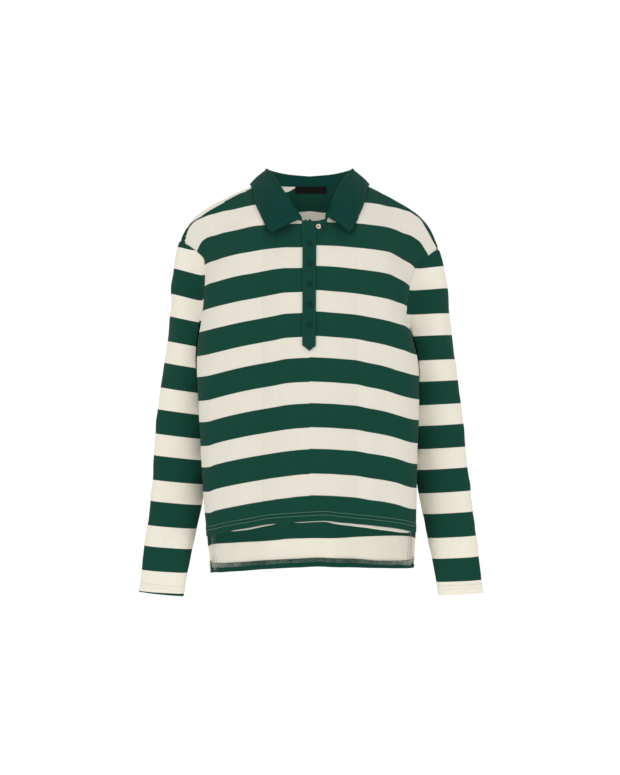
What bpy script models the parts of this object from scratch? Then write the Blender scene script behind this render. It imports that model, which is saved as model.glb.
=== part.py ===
"""Long-sleeved striped polo shirt, filled out as if worn, in metres with +Z up.

The wearer faces -Y and the wearer's left arm lies at +X. The origin is in the neck, at the
height of the shoulders, where the wearer holds the shirt up. Every piece that a maker would
cut is a cloth wall of its own: front, back, two sleeves, collar, two placket strips and the
neck label, with six buttons. Each wall is an open surface that is worked out from the tables
below and then given its thickness inwards, away from the side that shows.

A body panel is laid out by two numbers. "across" runs from -1 at its edge on the -X side to 1
at its edge on the +X side, and "drop" from 0 at the shoulder to 1 at the level of the front
hem. The edge is the armhole first and the side seam below it.
"""

import math

import bmesh
import bpy
import numpy as np
from mathutils import Vector
from mathutils.bvhtree import BVHTree

# Cloth
WALL = 0.0015
STRIP_WALL = 0.0012
SEAM_GAP = 0.0003
HALF_GAP = SEAM_GAP / 2
MERGE = 0.00001

# Body
NECK_HALF_WIDTH = 0.0765
SHOULDER_HALF_WIDTH = 0.2130
NECK_SHARE = NECK_HALF_WIDTH / SHOULDER_HALF_WIDTH
NECK_SIDE_Y = -0.012
NECK_CENTRE_Y = -0.020
NECK_SIDE_Z = 0.008
FRONT_NECK_REACH = 0.088
FRONT_NECK_DROP = 0.072
FRONT_NECK_FLAT = 2.8
FRONT_NECK_ROUND = 1.15
BACK_NECK_REACH = 0.067
BACK_NECK_DROP = 0.0025
SIDE_HEM_Z = -0.574
BACK_HEM_Z = -0.6350
BACK_HEM_CORNER = 0.010
ARMPIT_DROP = 0.285
VENT_DROP = 0.905
VENT_SPREAD = 0.004
BACK_LAST_DROP = 1.126
SECTION_POWER = 2.5
SHOULDER_ROUND_FRONT = 0.75
SHOULDER_ROUND_BACK = 0.60
ROUNDING_DROP = 0.20
LEVEL_DROP = 0.10
LEVEL_POWER = 6
DRAW_POWER = 1.2

ARMHOLE_DROPS = [0, 0.003, 0.010, 0.022, 0.04, 0.065, 0.10, 0.14, 0.18, 0.215, 0.24, 0.258, 0.272]
ARMHOLE_DROPS.append(ARMPIT_DROP)
NECK_TURNS = [0, 15, 30, 45, 60, 75, 90]

# Sleeves
SLEEVE_HEAD = (0, 0.04, 0.12, 0.22, 0.34, 0.48, 0.62, 0.76, 0.88)
SLEEVE_RINGS = 10
BODY_CLEARANCE = 0.0035
CUFF_TILT = 0.10

# Collar
FOLD_HALF_WIDTH = 0.0030
END_FOLD_SHARE = 0.58
LEAF_LIFT = 0.0018
LEAF_BULGE = 0.0035
COLLAR_LEAF_FIRST = 7

# Placket and buttons
SLIT_HALF_WIDTH = 0.0006
SLIT_END_Z = -0.236
UNDER_OUT = SEAM_GAP + STRIP_WALL
OUTER_OUT = UNDER_OUT + SEAM_GAP + STRIP_WALL
TIP_X = 0.0008
TIP_LENGTH = 0.0085
BUTTON_DIAMETER = 0.0088
BUTTON_HEIGHT = 0.0022
BUTTON_RIM = 0.0010
BUTTON_DISH = 0.0005
BUTTON_LIFT = 0.0001
BUTTON_SIDES = 14
TOP_BUTTON = (0.0138, -0.0730)
ROW_BUTTON_Z = -0.1005
ROW_BUTTON_STEP = 0.0327
ROW_BUTTONS = 5

# Neck label
LABEL_X = (-0.0245, 0.0285)
LABEL_Z = (-0.0055, 0.0034)
LABEL_WALL = 0.0008


def table(columns, rows):
    """Names the columns of a short table. Each column becomes an array of its rows' values."""
    names = columns.split()
    return {name: np.array([row[i] for row in rows], float) for i, name in enumerate(names)}


# Height of the shoulder seam on each side, and how far forward of the neck's middle it lies.
SHOULDER_SEAM = table(
    "across  z_left   z_right  y_left  y_right  ridge_left ridge_right",
    [
        (0.00, 0.0080, 0.0080, -0.012, -0.012, 0.000, 0.000),
        (NECK_SHARE, 0.0080, 0.0080, -0.012, -0.012, 0.022, 0.020),
        (0.47, -0.0022, -0.0010, -0.022, -0.013, 0.030, 0.026),
        (0.66, -0.0222, -0.0225, -0.030, -0.013, 0.036, 0.026),
        (0.82, -0.0415, -0.0435, -0.030, -0.010, 0.036, 0.024),
        (0.89, -0.0530, -0.0580, -0.024, -0.008, 0.032, 0.020),
        (0.94, -0.0655, -0.0730, -0.017, -0.006, 0.022, 0.014),
        (1.00, -0.0880, -0.1020, -0.006, -0.004, 0.000, 0.000),
    ],
)

# Edge of the front: down the armhole to the armpit, then down the side seam to the hem.
FRONT_EDGE = table(
    "drop   x_left   x_right   y       turn",
    [
        (0.000, 0.2135, 0.2125, -0.006, 0.80),
        (0.003, 0.2125, 0.2115, -0.014, 0.80),
        (0.010, 0.2080, 0.2060, -0.022, 0.81),
        (0.022, 0.1985, 0.1985, -0.029, 0.84),
        (0.040, 0.1875, 0.1880, -0.034, 0.90),
        (0.075, 0.1735, 0.1745, -0.038, 0.97),
        (0.150, 0.1710, 0.1625, -0.038, 1.00),
        (0.230, 0.1745, 0.1580, -0.028, 1.00),
        (0.285, 0.1785, 0.1640, -0.020, 1.00),
        (0.360, 0.1840, 0.1740, -0.020, 1.00),
        (0.430, 0.1850, 0.1790, -0.020, 1.00),
        (0.550, 0.1825, 0.1795, -0.018, 1.00),
        (0.700, 0.1790, 0.1770, -0.016, 1.00),
        (0.850, 0.1750, 0.1755, -0.014, 1.00),
        (1.000, 0.1690, 0.1745, -0.012, 1.00),
        (1.130, 0.1645, 0.1720, -0.012, 1.00),
    ],
)

# Edge of the back above the armpit. Below it the back shares the side seam with the front.
BACK_EDGE = table(
    "drop   x_left   x_right   y       turn",
    [
        (0.000, 0.2135, 0.2125, -0.006, 0.80),
        (0.003, 0.2130, 0.2120, 0.004, 0.80),
        (0.012, 0.2095, 0.2080, 0.018, 0.80),
        (0.030, 0.2010, 0.1990, 0.034, 0.80),
        (0.060, 0.1880, 0.1850, 0.050, 0.80),
        (0.100, 0.1750, 0.1710, 0.060, 0.80),
        (0.160, 0.1600, 0.1560, 0.062, 0.82),
        (0.215, 0.1560, 0.1500, 0.050, 0.88),
        (0.255, 0.1640, 0.1540, 0.026, 0.96),
        (0.275, 0.1740, 0.1610, 0.000, 1.00),
        (0.285, 0.1785, 0.1640, -0.020, 1.00),
    ],
)

# Middle of the front and of the back, seen from the side.
MIDDLE = table(
    "drop   front_y  back_y",
    [
        (0.00, -0.100, 0.055),
        (0.10, -0.112, 0.094),
        (0.20, -0.120, 0.105),
        (0.30, -0.123, 0.106),
        (0.42, -0.121, 0.102),
        (0.60, -0.114, 0.096),
        (0.80, -0.108, 0.096),
        (1.00, -0.105, 0.099),
        (1.13, -0.104, 0.101),
    ],
)

# Front hem, from the side at -X to the side at +X.
FRONT_HEM = table(
    "across  z",
    [
        (-1.00, -0.5740),
        (-0.70, -0.5622),
        (-0.34, -0.5510),
        (0.00, -0.5455),
        (0.21, -0.5440),
        (0.60, -0.5550),
        (1.00, -0.5720),
    ],
)

# Where the back lies level with the front hem.
BACK_LEVEL = table("across z", [(-1.00, -0.5740), (0.00, -0.5600), (1.00, -0.5720)])

# Largest folds: soft ridges (height above 0) and troughs that run down a panel.
FRONT_FOLDS = table(
    "x_top   x_foot  z_top   z_foot  half_width  height",
    [
        (-0.058, -0.064, -0.300, -0.600, 0.020, -0.0030),
        (-0.012, -0.020, -0.330, -0.600, 0.024, 0.0022),
        (0.062, 0.068, -0.290, -0.600, 0.017, -0.0034),
        (0.092, 0.098, -0.300, -0.600, 0.014, 0.0024),
        (0.122, 0.124, -0.330, -0.600, 0.013, -0.0026),
        (-0.120, -0.112, -0.360, -0.600, 0.018, 0.0022),
        (0.130, 0.152, -0.085, -0.235, 0.011, -0.0045),
        (-0.140, -0.158, -0.080, -0.230, 0.011, -0.0038),
    ],
)
BACK_FOLDS = table(
    "x_top   x_foot  z_top   z_foot  half_width  height",
    [
        (-0.070, -0.074, -0.260, -0.680, 0.022, -0.0036),
        (-0.030, -0.034, -0.300, -0.680, 0.020, 0.0026),
        (0.028, 0.036, -0.240, -0.680, 0.018, -0.0038),
        (0.064, 0.070, -0.280, -0.680, 0.016, 0.0028),
        (0.110, 0.104, -0.340, -0.680, 0.018, -0.0024),
        (-0.118, -0.110, -0.320, -0.680, 0.016, 0.0022),
        (0.120, 0.142, -0.090, -0.230, 0.012, -0.0042),
        (-0.122, -0.146, -0.085, -0.235, 0.012, -0.0040),
    ],
)
FOLD_FADE = 0.060

# Sleeve below the armpit, by the height of each section's middle. "outer" is how far its outer
# edge stands from the middle of the shirt.
SLEEVE = table(
    "z       outer_left outer_right half_width half_depth y",
    [
        (-0.275, 0.2390, 0.2405, 0.0460, 0.0500, 0.042),
        (-0.3515, 0.2511, 0.2513, 0.0465, 0.0400, 0.047),
        (-0.4422, 0.2602, 0.2617, 0.0452, 0.0310, 0.046),
        (-0.5165, 0.2650, 0.2703, 0.0430, 0.0240, 0.039),
        (-0.6006, 0.2756, 0.2800, 0.0398, 0.0180, 0.030),
        (-0.6710, 0.2822, 0.2868, 0.0366, 0.0140, 0.024),
    ],
)

# Soft rings of slack round a sleeve: ridges and troughs by height.
SLEEVE_FOLDS = table(
    "z       phase   half_width  height",
    [
        (-0.165, 0.08, 0.016, 0.0026),
        (-0.205, 0.30, 0.014, -0.0028),
        (-0.330, 0.62, 0.014, -0.0020),
        (-0.395, 0.10, 0.012, 0.0018),
        (-0.430, 0.55, 0.012, -0.0022),
        (-0.500, 0.85, 0.012, 0.0016),
        (-0.560, 0.20, 0.011, -0.0014),
    ],
)

# Collar, from its front end (way 0) round the side to the middle of the back (way 1). "fold"
# is the crest where the leaf turns over, and "edge" is the outer edge of the leaf.
COLLAR = table(
    "way  fold_x  fold_y  fold_z   edge_x  edge_y  edge_z",
    [
        (0.00, 0.0130, -0.1005, -0.0580, 0.0602, -0.1185, -0.0836),
        (0.10, 0.0270, -0.0905, -0.0360, 0.0652, -0.1100, -0.0743),
        (0.20, 0.0405, -0.0720, -0.0160, 0.0722, -0.0960, -0.0583),
        (0.35, 0.0575, -0.0430, 0.0105, 0.0840, -0.0690, -0.0316),
        (0.47, 0.0675, -0.0150, 0.0255, 0.0937, -0.0380, -0.0080),
        (0.56, 0.0712, 0.0060, 0.0309, 0.0995, -0.0020, 0.0045),
        (0.70, 0.0610, 0.0345, 0.0295, 0.0900, 0.0400, 0.0000),
        (0.85, 0.0340, 0.0530, 0.0258, 0.0520, 0.0750, -0.0110),
        (1.00, 0.0000, 0.0590, 0.0234, 0.0000, 0.0860, -0.0150),
    ],
)
COLLAR_END_SHIFT = {-1: (0.0, 0.0, 0.0), 1: (0.0126, 0.0035, 0.0042)}
COLLAR_END_REACH = 0.30

# Edges of the two placket strips by height.
OUTER_STRIP = table(
    "z       x_left   x_right",
    [
        (-0.0610, -0.0128, 0.0042),
        (-0.0740, -0.0120, 0.0078),
        (-0.0880, -0.0114, 0.0105),
        (-0.1600, -0.0114, 0.0100),
        (-0.2640, -0.0118, 0.0097),
    ],
)
UNDER_STRIP = table(
    "z       x_left   x_right",
    [
        (-0.0622, 0.0045, 0.0285),
        (-0.0720, 0.0000, 0.0270),
        (-0.0860, -0.0080, 0.0180),
        (-0.0960, -0.0100, 0.0090),
        (-0.2380, -0.0100, 0.0082),
    ],
)

COLOURS = {
    "cream_jersey": ((0.80, 0.76, 0.66), 0.85),
    "green_jersey": ((0.012, 0.060, 0.040), 0.85),
    "green_rib": ((0.010, 0.055, 0.042), 0.80),
    "pearl_button": ((0.55, 0.42, 0.33), 0.30),
    "green_button": ((0.012, 0.055, 0.042), 0.40),
    "black_label": ((0.012, 0.012, 0.013), 0.60),
}


def smooth(known, values, at):
    """Reads values at any place, on a cubic curve through the known ones with no overshoot."""
    at = np.clip(np.asarray(at, float), known[0], known[-1])
    step = np.diff(known)
    rise = np.diff(values) / step
    slope = np.zeros(len(known))
    slope[0], slope[-1] = rise[0], rise[-1]
    for i in range(1, len(known) - 1):
        if rise[i - 1] * rise[i] > 0:
            slope[i] = 2 * rise[i - 1] * rise[i] / (rise[i - 1] + rise[i])
    i = np.clip(np.searchsorted(known, at, side="right") - 1, 0, len(step) - 1)
    u = (at - known[i]) / step[i]
    near = (1 + 2 * u) * (1 - u) ** 2 * values[i] + u * (1 - u) ** 2 * step[i] * slope[i]
    far = u * u * (3 - 2 * u) * values[i + 1] + u * u * (u - 1) * step[i] * slope[i + 1]
    return near + far


def read(rows, key, column, at):
    """Reads a column of a table at any value of its key column, which may rise or fall."""
    order = np.argsort(rows[key])
    return smooth(rows[key][order], rows[column][order], at)


def ease(u):
    """Runs from 0 to 1 with a level start and end."""
    u = np.clip(u, 0, 1)
    return u * u * (3 - 2 * u)


def sided(rows, key, column, at, across):
    """Reads the left or the right column of a table by the sign of across."""
    left = read(rows, key, column + "_left", at)
    right = read(rows, key, column + "_right", at)
    return np.where(across < 0, left, right)


def edge_height(drop, across):
    """Height of a panel's edge at this drop: the shoulder's tip at 0, the side hem at 1."""
    tip = np.where(across < 0, SHOULDER_SEAM["z_left"][-1], SHOULDER_SEAM["z_right"][-1])
    return tip + drop * (SIDE_HEM_Z - tip)


def neck_round(across):
    """How far round the neck a place on the neckline lies: 1 in the middle, 0 at the shoulder."""
    return np.sqrt(np.clip(1 - (across / NECK_SHARE) ** 2, 0, 1))


def top_line(across, front):
    """Y and Z of a panel's top edge: the neckline in the middle, the shoulder seam outside."""
    share = np.abs(across)
    y = sided(SHOULDER_SEAM, "across", "y", share, across)
    z = sided(SHOULDER_SEAM, "across", "z", share, across)
    round_neck = neck_round(across)
    if front:
        neck_y = NECK_SIDE_Y - FRONT_NECK_REACH * round_neck
        level = np.clip(1 - (share / NECK_SHARE) ** FRONT_NECK_FLAT, 0, 1)
        neck_z = NECK_SIDE_Z - FRONT_NECK_DROP * level**FRONT_NECK_ROUND
    else:
        neck_y = NECK_SIDE_Y + BACK_NECK_REACH * round_neck
        neck_z = NECK_SIDE_Z - BACK_NECK_DROP * round_neck
    in_neck = share < NECK_SHARE
    return np.where(in_neck, neck_y, y), np.where(in_neck, neck_z, z)


def edge_read(column, drop, front):
    """Reads the edge's table for the front, or for the back above the armpit."""
    below = read(FRONT_EDGE, "drop", column, drop)
    if front:
        return below
    above = read(BACK_EDGE, "drop", column, drop)
    return np.where(drop < ARMPIT_DROP, above, below)


def edge_x(drop, across, front):
    """Half width of a panel at its edge, on the side that across names."""
    left = edge_read("x_left", drop, front)
    right = edge_read("x_right", drop, front)
    return np.where(across < 0, left, right)


def place_x(across, drop, front):
    """X of a place across a panel. The columns of the neck run straight down, and those
    outside them draw in with the edge."""
    share = np.abs(across)
    drawn = np.clip((share - NECK_SHARE) / (1 - NECK_SHARE), 0, 1) ** DRAW_POWER
    reach = edge_x(drop, across, front) - SHOULDER_HALF_WIDTH
    return np.sign(across) * (share * SHOULDER_HALF_WIDTH + reach * drawn)


def section_depth(across, turn):
    """How far a section stands out between its edge (0) and its middle (1)."""
    full = (1 - np.clip(np.abs(across) * turn, 0, 1) ** SECTION_POWER) ** (1 / SECTION_POWER)
    last = (1 - np.clip(turn, 0, 1) ** SECTION_POWER) ** (1 / SECTION_POWER)
    return (full - last) / (1 - last)


def folds(rows, x, z):
    """Height of the panel's folds at a place, faded out over their ends."""
    height = np.zeros(np.broadcast(x, z).shape)
    for i in range(len(rows["height"])):
        z_top, z_foot = rows["z_top"][i], rows["z_foot"][i]
        along = np.clip((z_top - z) / (z_top - z_foot), 0, 1)
        middle = rows["x_top"][i] + (rows["x_foot"][i] - rows["x_top"][i]) * along
        bell = np.exp(-(((x - middle) / rows["half_width"][i]) ** 2))
        fade = ease((z_top - z) / FOLD_FADE) * ease((z - z_foot) / FOLD_FADE)
        height = height + rows["height"][i] * bell * fade
    return height


def panel_point(across, drop, front):
    """A point of the front or of the back, by its place across and its drop."""
    across, drop = np.broadcast_arrays(np.asarray(across, float), np.asarray(drop, float))
    top_y, top_z = top_line(across, front)
    x = place_x(across, drop, front)
    edge_y = edge_read("y", drop, front)
    middle_y = read(MIDDLE, "drop", "front_y" if front else "back_y", drop)
    turn = edge_read("turn", drop, front)
    y = edge_y + (middle_y - edge_y) * section_depth(across, turn)
    power = (SHOULDER_ROUND_FRONT if front else SHOULDER_ROUND_BACK) * (1 - np.abs(across) ** 5)
    over = np.sin(np.clip(drop / ROUNDING_DROP, 0, 1) * math.pi / 2) ** power
    y = top_y + (y - top_y) * over
    tip_z = edge_height(0.0, across)
    level_off = ease(drop / LEVEL_DROP) * np.abs(across) ** LEVEL_POWER
    top_z = top_z - (top_z - tip_z) * level_off
    if front:
        hem_z = read(FRONT_HEM, "across", "z", across)
        z = top_z + (hem_z - top_z) * drop
    else:
        level_z = read(BACK_LEVEL, "across", "z", across)
        share = np.clip((drop - 1) / (BACK_LAST_DROP - 1), 0, 1)
        z = top_z + (level_z - top_z) * np.minimum(drop, 1)
        z = z + (BACK_HEM_Z - level_z) * share
        ridge = sided(SHOULDER_SEAM, "across", "ridge", np.abs(across), across)
        ridge = ridge * (1 - level_off)
        rise = np.clip(drop / (2.2 * ROUNDING_DROP), 0, 1)
        z = z + ridge * 6.75 * rise * (1 - rise) ** 2
    spread = VENT_SPREAD * ease((drop - VENT_DROP) / (1 - VENT_DROP)) * np.abs(across) ** 6
    outward = -1 if front else 1
    y = y + outward * spread
    away_from_edge = 1 - np.abs(across) ** 8
    y = y + outward * away_from_edge * folds(FRONT_FOLDS if front else BACK_FOLDS, x, z)
    return np.stack([x, y, z], axis=-1)


# ---------------------------------------------------------------- sheets and walls


def unit(vectors):
    """The same directions, one long."""
    return vectors / (np.linalg.norm(vectors, axis=-1, keepdims=True) + 1e-12)


def grid_normals(grid, closed=False):
    """Unit normals of a grid of points, from the neighbours on either side of each."""
    down = np.gradient(grid, axis=0)
    over = np.gradient(grid, axis=1)
    if closed:
        over = np.roll(grid, -1, axis=1) - np.roll(grid, 1, axis=1)
    return unit(np.cross(over, down))


def surface_tree(points, outwards):
    """A search tree over a grid of points, each face turned to the side that shows."""
    rows, columns = points.shape[:2]
    flat = [Vector(p) for p in points.reshape(-1, 3)]
    faces = []
    for i in range(rows - 1):
        for j in range(columns - 1):
            first = i * columns + j
            below = first + columns
            for face in ([first, first + 1, below + 1], [first, below + 1, below]):
                one = flat[face[1]] - flat[face[0]]
                two = flat[face[2]] - flat[face[0]]
                if one.cross(two).dot(Vector(outwards[i, j])) < 0:
                    face.reverse()
                faces.append(face)
    return BVHTree.FromPolygons(flat, faces)


def seen_from_front(tree, x, z, from_y=-1.0):
    """The point of a surface at this x and height, met by looking along +Y."""
    hit, _, _, _ = tree.ray_cast(Vector((x, from_y, z)), Vector((0, 1, 0)))
    if hit is None:
        raise ValueError(f"no surface at x {x:.4f}, z {z:.4f}")
    return np.array(hit)


def keep_clear(point, trees, clearance):
    """Moves a point out until it stands clear of each surface that it lies over."""
    point = Vector(point)
    for _ in range(5):
        for tree in trees:
            near, way_out, _, _ = tree.find_nearest(point, 0.09)
            if near is None:
                continue
            offset = point - near
            height = offset.dot(way_out)
            aside = (offset - way_out * height).length
            if height < clearance and aside < 0.002:
                point = point + way_out * (clearance - height)
    return np.array(point)


def keep_grid_clear(grid, trees, clearance, first, closed):
    """Keeps a sheet clear of the surfaces below it, at its points and halfway between them.
    first is its first free row, and clearance gives the height wanted on each row."""
    rows, columns = grid.shape[:2]
    for _ in range(3):
        for i in range(first, rows):
            for j in range(columns):
                grid[i, j] = keep_clear(grid[i, j], trees, clearance[i])
                pairs = [(i, (j + 1) % columns)] if closed or j + 1 < columns else []
                pairs += [(i + 1, j)] if i + 1 < rows else []
                for a, b in pairs:
                    halfway = (grid[i, j] + grid[a, b]) / 2
                    push = keep_clear(halfway, trees, clearance[i]) - halfway
                    grid[i, j] += push
                    grid[a, b] += push
    return grid


def clear_scene():
    """Removes whatever the scene starts with."""
    for thing in list(bpy.data.objects):
        bpy.data.objects.remove(thing, do_unlink=True)


def cloth_material(name):
    """A plain cloth, button or label material in its own colour."""
    colour, roughness = COLOURS[name]
    material = bpy.data.materials.get(name) or bpy.data.materials.new(name)
    material.use_nodes = True
    shader = material.node_tree.nodes["Principled BSDF"]
    shader.inputs["Base Color"].default_value = (*colour, 1.0)
    shader.inputs["Roughness"].default_value = roughness
    shader.inputs["Metallic"].default_value = 0.0
    return material


def add_object(name, shape, material_name, collection):
    """Puts a finished shape in the scene as one named piece, shaded smooth."""
    mesh = bpy.data.meshes.new(name)
    shape.to_mesh(mesh)
    shape.free()
    mesh.materials.append(cloth_material(material_name))
    mesh.shade_smooth()
    piece = bpy.data.objects.new(name, mesh)
    collection.objects.link(piece)
    return piece


def cloth_wall(outer, inner, closed=False, skip=None):
    """A closed wall between the side of a cloth that shows and the side behind it.

    Solidify can't be used here: two cloths that meet at a seam share their edge's slant, so
    that the gap between them stays even through the wall. skip(row, column) leaves an opening.
    """
    rows, columns = outer.shape[:2]
    shape = bmesh.new()
    near = [[shape.verts.new(p) for p in row] for row in outer]
    far = [[shape.verts.new(p) for p in row] for row in inner]
    edges = {}
    for i in range(rows - 1):
        for j in range(columns if closed else columns - 1):
            if skip is not None and skip(i, j):
                continue
            k = (j + 1) % columns
            for corners in (
                [(i, j), (i, k), (i + 1, k)],
                [(i, j), (i + 1, k), (i + 1, j)],
            ):
                shape.faces.new([near[a][b] for a, b in corners])
                shape.faces.new([far[a][b] for a, b in reversed(corners)])
                for start, end in zip(corners, corners[1:] + corners[:1]):
                    edges.setdefault(frozenset((start, end)), []).append((start, end))
    for used in edges.values():
        if len(used) == 1:
            (a, b), (c, d) = used[0]
            close_rim(shape, near[a][b], near[c][d], far[a][b], far[c][d])
    loose = [v for v in shape.verts if not v.link_faces]
    bmesh.ops.delete(shape, geom=loose, context="VERTS")
    bmesh.ops.recalc_face_normals(shape, faces=shape.faces)
    return shape


def close_rim(shape, near_start, near_end, far_start, far_end):
    """Closes one run of a wall's rim along the shorter of its two diagonals, so that the rims
    of two cloths that meet at a seam are cut alike."""
    if (near_start.co - far_end.co).length < (near_end.co - far_start.co).length:
        shape.faces.new((near_end, near_start, far_end))
        shape.faces.new((near_start, far_start, far_end))
    else:
        shape.faces.new((near_end, near_start, far_start))
        shape.faces.new((near_end, far_start, far_end))


def open_skin(grid):
    """An open surface through a grid of points, turned towards -Y."""
    shape = bmesh.new()
    points = [[shape.verts.new(p) for p in row] for row in grid]
    for upper, lower in zip(points, points[1:]):
        for j in range(len(upper) - 1):
            shape.faces.new((upper[j], lower[j], lower[j + 1], upper[j + 1]))
    shape.normal_update()
    if sum(face.normal.y for face in shape.faces) > 0:
        bmesh.ops.reverse_faces(shape, faces=shape.faces)
    return shape


def give_thickness(piece, thickness):
    """Gives an open skin its thickness, backwards from the side that shows."""
    solid = piece.modifiers.new("thickness", "SOLIDIFY")
    solid.thickness = thickness
    solid.offset = -1.0
    solid.use_even_offset = False
    solid.use_rim = True
    return piece


# ---------------------------------------------------------------- front and back


def across_steps():
    """Places across half a panel: even turns round the neck, then closer to the edge."""
    neck = [NECK_SHARE * math.sin(math.radians(turn)) for turn in NECK_TURNS[1:]]
    outer = [1 - (1 - NECK_SHARE) * (1 - i / 7) ** SECTION_POWER for i in range(1, 7)]
    return neck + outer + [1.0]


def panel_columns(front):
    """Places across a whole panel, with a narrow pair beside the slit of the front."""
    half = across_steps()
    if front:
        middle = SLIT_HALF_WIDTH / SHOULDER_HALF_WIDTH
        return np.array([-v for v in reversed(half)] + [-middle, middle] + half)
    return np.array([-v for v in reversed(half)] + [0.0] + half)


def panel_drops(front):
    """Rows of a panel: the armhole's, then even ones down the body. Both panels share them."""
    body = [ARMPIT_DROP + (1.0 - ARMPIT_DROP) * i / 10 for i in range(1, 11)]
    if front:
        return ARMHOLE_DROPS + body
    return ARMHOLE_DROPS + body + [1.055, 1.10, BACK_LAST_DROP]


class Panel:
    """The front or the back as a grid of points, with the way out of the cloth at each."""

    def __init__(self, front):
        self.front = front
        across = panel_columns(front)
        place, fall = np.meshgrid(across, panel_drops(front))
        self.points = panel_point(place, fall, front)
        if front:
            middle = len(across) // 2
            self.points[:, middle - 1, 0] = -SLIT_HALF_WIDTH
            self.points[:, middle, 0] = SLIT_HALF_WIDTH
        else:
            round_hem_corners(self.points)
        self.outwards = grid_normals(self.points) * (-1 if front else 1)
        self.seam = self.points.copy()

    def inner(self):
        """The side of the cloth that faces the body."""
        return self.points - self.outwards * WALL

    def pull_back(self, rows, columns, towards, along_rows):
        """Pulls a seam's edge back over its own cloth by half the gap."""
        run = np.gradient(self.seam, axis=0 if along_rows else 1)[rows, columns]
        back = unit(np.cross(self.outwards[rows, columns], run))
        side = np.sum(back * (self.seam[towards] - self.seam[rows, columns]), axis=-1)
        back = back * np.where(side < 0, -1, 1)[..., None]
        self.points[rows, columns] += back * HALF_GAP


def share_seams(front, back):
    """Gives the two panels one slant at the shoulder and side seams, and the gap between."""
    armpit = len(ARMHOLE_DROPS) - 1
    last = front.points.shape[0]
    outer = len(across_steps()) - len(NECK_TURNS) + 2
    for columns in (slice(0, outer), slice(-outer, None)):
        both = unit(front.outwards[0, columns] + back.outwards[0, columns])
        front.outwards[0, columns] = both
        back.outwards[0, columns] = both
        for panel in (front, back):
            panel.pull_back(0, columns, (1, columns), False)
    rows = slice(armpit, last)
    for column, beside in ((0, 1), (-1, -2)):
        both = unit(front.outwards[rows, column] + back.outwards[rows, column])
        front.outwards[rows, column] = both
        back.outwards[rows, column] = both
        for panel in (front, back):
            panel.pull_back(rows, column, (rows, beside), True)


def round_hem_corners(grid):
    """Rounds the two lower corners of the back, on the cloth itself."""
    for side in (0, -1):
        step = 1 if side == 0 else -1
        for j in range(5):
            column = side + step * j
            run = np.linalg.norm(grid[-1, column] - grid[-1, side])
            if run < BACK_HEM_CORNER:
                left = BACK_HEM_CORNER - run
                lift = BACK_HEM_CORNER - math.sqrt(BACK_HEM_CORNER**2 - left**2)
                grid[-1, column, 2] = max(grid[-1, column, 2], BACK_HEM_Z + lift)


def make_panel(panel, collection):
    """The front or the back as a cloth wall. The front is slit behind its placket."""
    middle = panel.points.shape[1] // 2 - 1
    heights = panel.points[:, middle, 2]

    def in_slit(row, column):
        return panel.front and column == middle and heights[row + 1] > SLIT_END_Z

    shape = cloth_wall(panel.points, panel.inner(), skip=in_slit)
    name = "front_body" if panel.front else "back_body"
    return add_object(name, shape, "cream_jersey", collection)


# ---------------------------------------------------------------- sleeves


def armhole_ring(side, front, back):
    """The armhole, from the shoulder's tip down the front and up the back: its points, the
    way out of the cloth there, and the way in which the cloth runs on over the seam."""
    column, beside = (0, 1) if side < 0 else (-1, -2)
    armpit = len(ARMHOLE_DROPS) - 1

    def around(of_front, of_back, place):
        down = of_front[: armpit + 1, place]
        up = of_back[armpit - 1 : 0 : -1, place]
        return np.concatenate([down, up])

    points = around(front.seam, back.seam, column)
    within = around(front.seam, back.seam, beside)
    outwards = around(front.outwards, back.outwards, column)
    ahead = unit(np.roll(points, -1, axis=0) - points)
    behind = np.roll(ahead, 1, axis=0)
    along = unit(ahead + behind)
    onward = unit(np.cross(along, outwards))
    if np.sum(onward * (points - within)) < 0:
        onward = -onward
    corner = np.sum(ahead * along, axis=1, keepdims=True)
    return points, outwards, onward, corner


def sleeve_ring(side, z, count):
    """An oval section of a sleeve round its middle at this height, outer edge first."""
    outer = float(read(SLEEVE, "z", "outer_left" if side < 0 else "outer_right", z))
    half_width = float(read(SLEEVE, "z", "half_width", z))
    half_depth = float(read(SLEEVE, "z", "half_depth", z))
    middle_y = float(read(SLEEVE, "z", "y", z))
    angle = 2 * math.pi * np.arange(count) / count
    out = half_width * np.cos(angle)
    ring = np.empty((count, 3))
    ring[:, 0] = side * (outer - half_width + out)
    ring[:, 1] = middle_y - half_depth * np.sin(angle)
    ring[:, 2] = z + CUFF_TILT * out
    return ring


def body_half_width(side, y, z):
    """Half width of the body at this depth and height, below the armpit."""
    tip = float(edge_height(0.0, side))
    drop = np.clip((z - tip) / (SIDE_HEM_Z - tip), ARMPIT_DROP, BACK_LAST_DROP)
    edge_y = edge_read("y", drop, True)
    reach_front = edge_y - read(MIDDLE, "drop", "front_y", drop)
    reach_back = read(MIDDLE, "drop", "back_y", drop) - edge_y
    share = np.where(y < edge_y, (edge_y - y) / reach_front, (y - edge_y) / reach_back)
    inside = np.clip(1 - np.clip(share, 0, 1) ** SECTION_POWER, 0, 1) ** (1 / SECTION_POWER)
    return np.abs(place_x(side * inside, drop, True)) * (share < 1)


def press_off_body(side, grid):
    """Moves a sleeve's points sideways until they lie clear of the body."""
    armpit = float(edge_height(ARMPIT_DROP, side))
    below = np.clip((armpit + 0.004 - grid[..., 2]) / 0.020, 0, 1)
    room = body_half_width(side, grid[..., 1], grid[..., 2]) + BODY_CLEARANCE
    reach = side * grid[..., 0]
    grid[..., 0] += side * np.maximum(room - reach, 0) * ease(below)
    return grid


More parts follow.
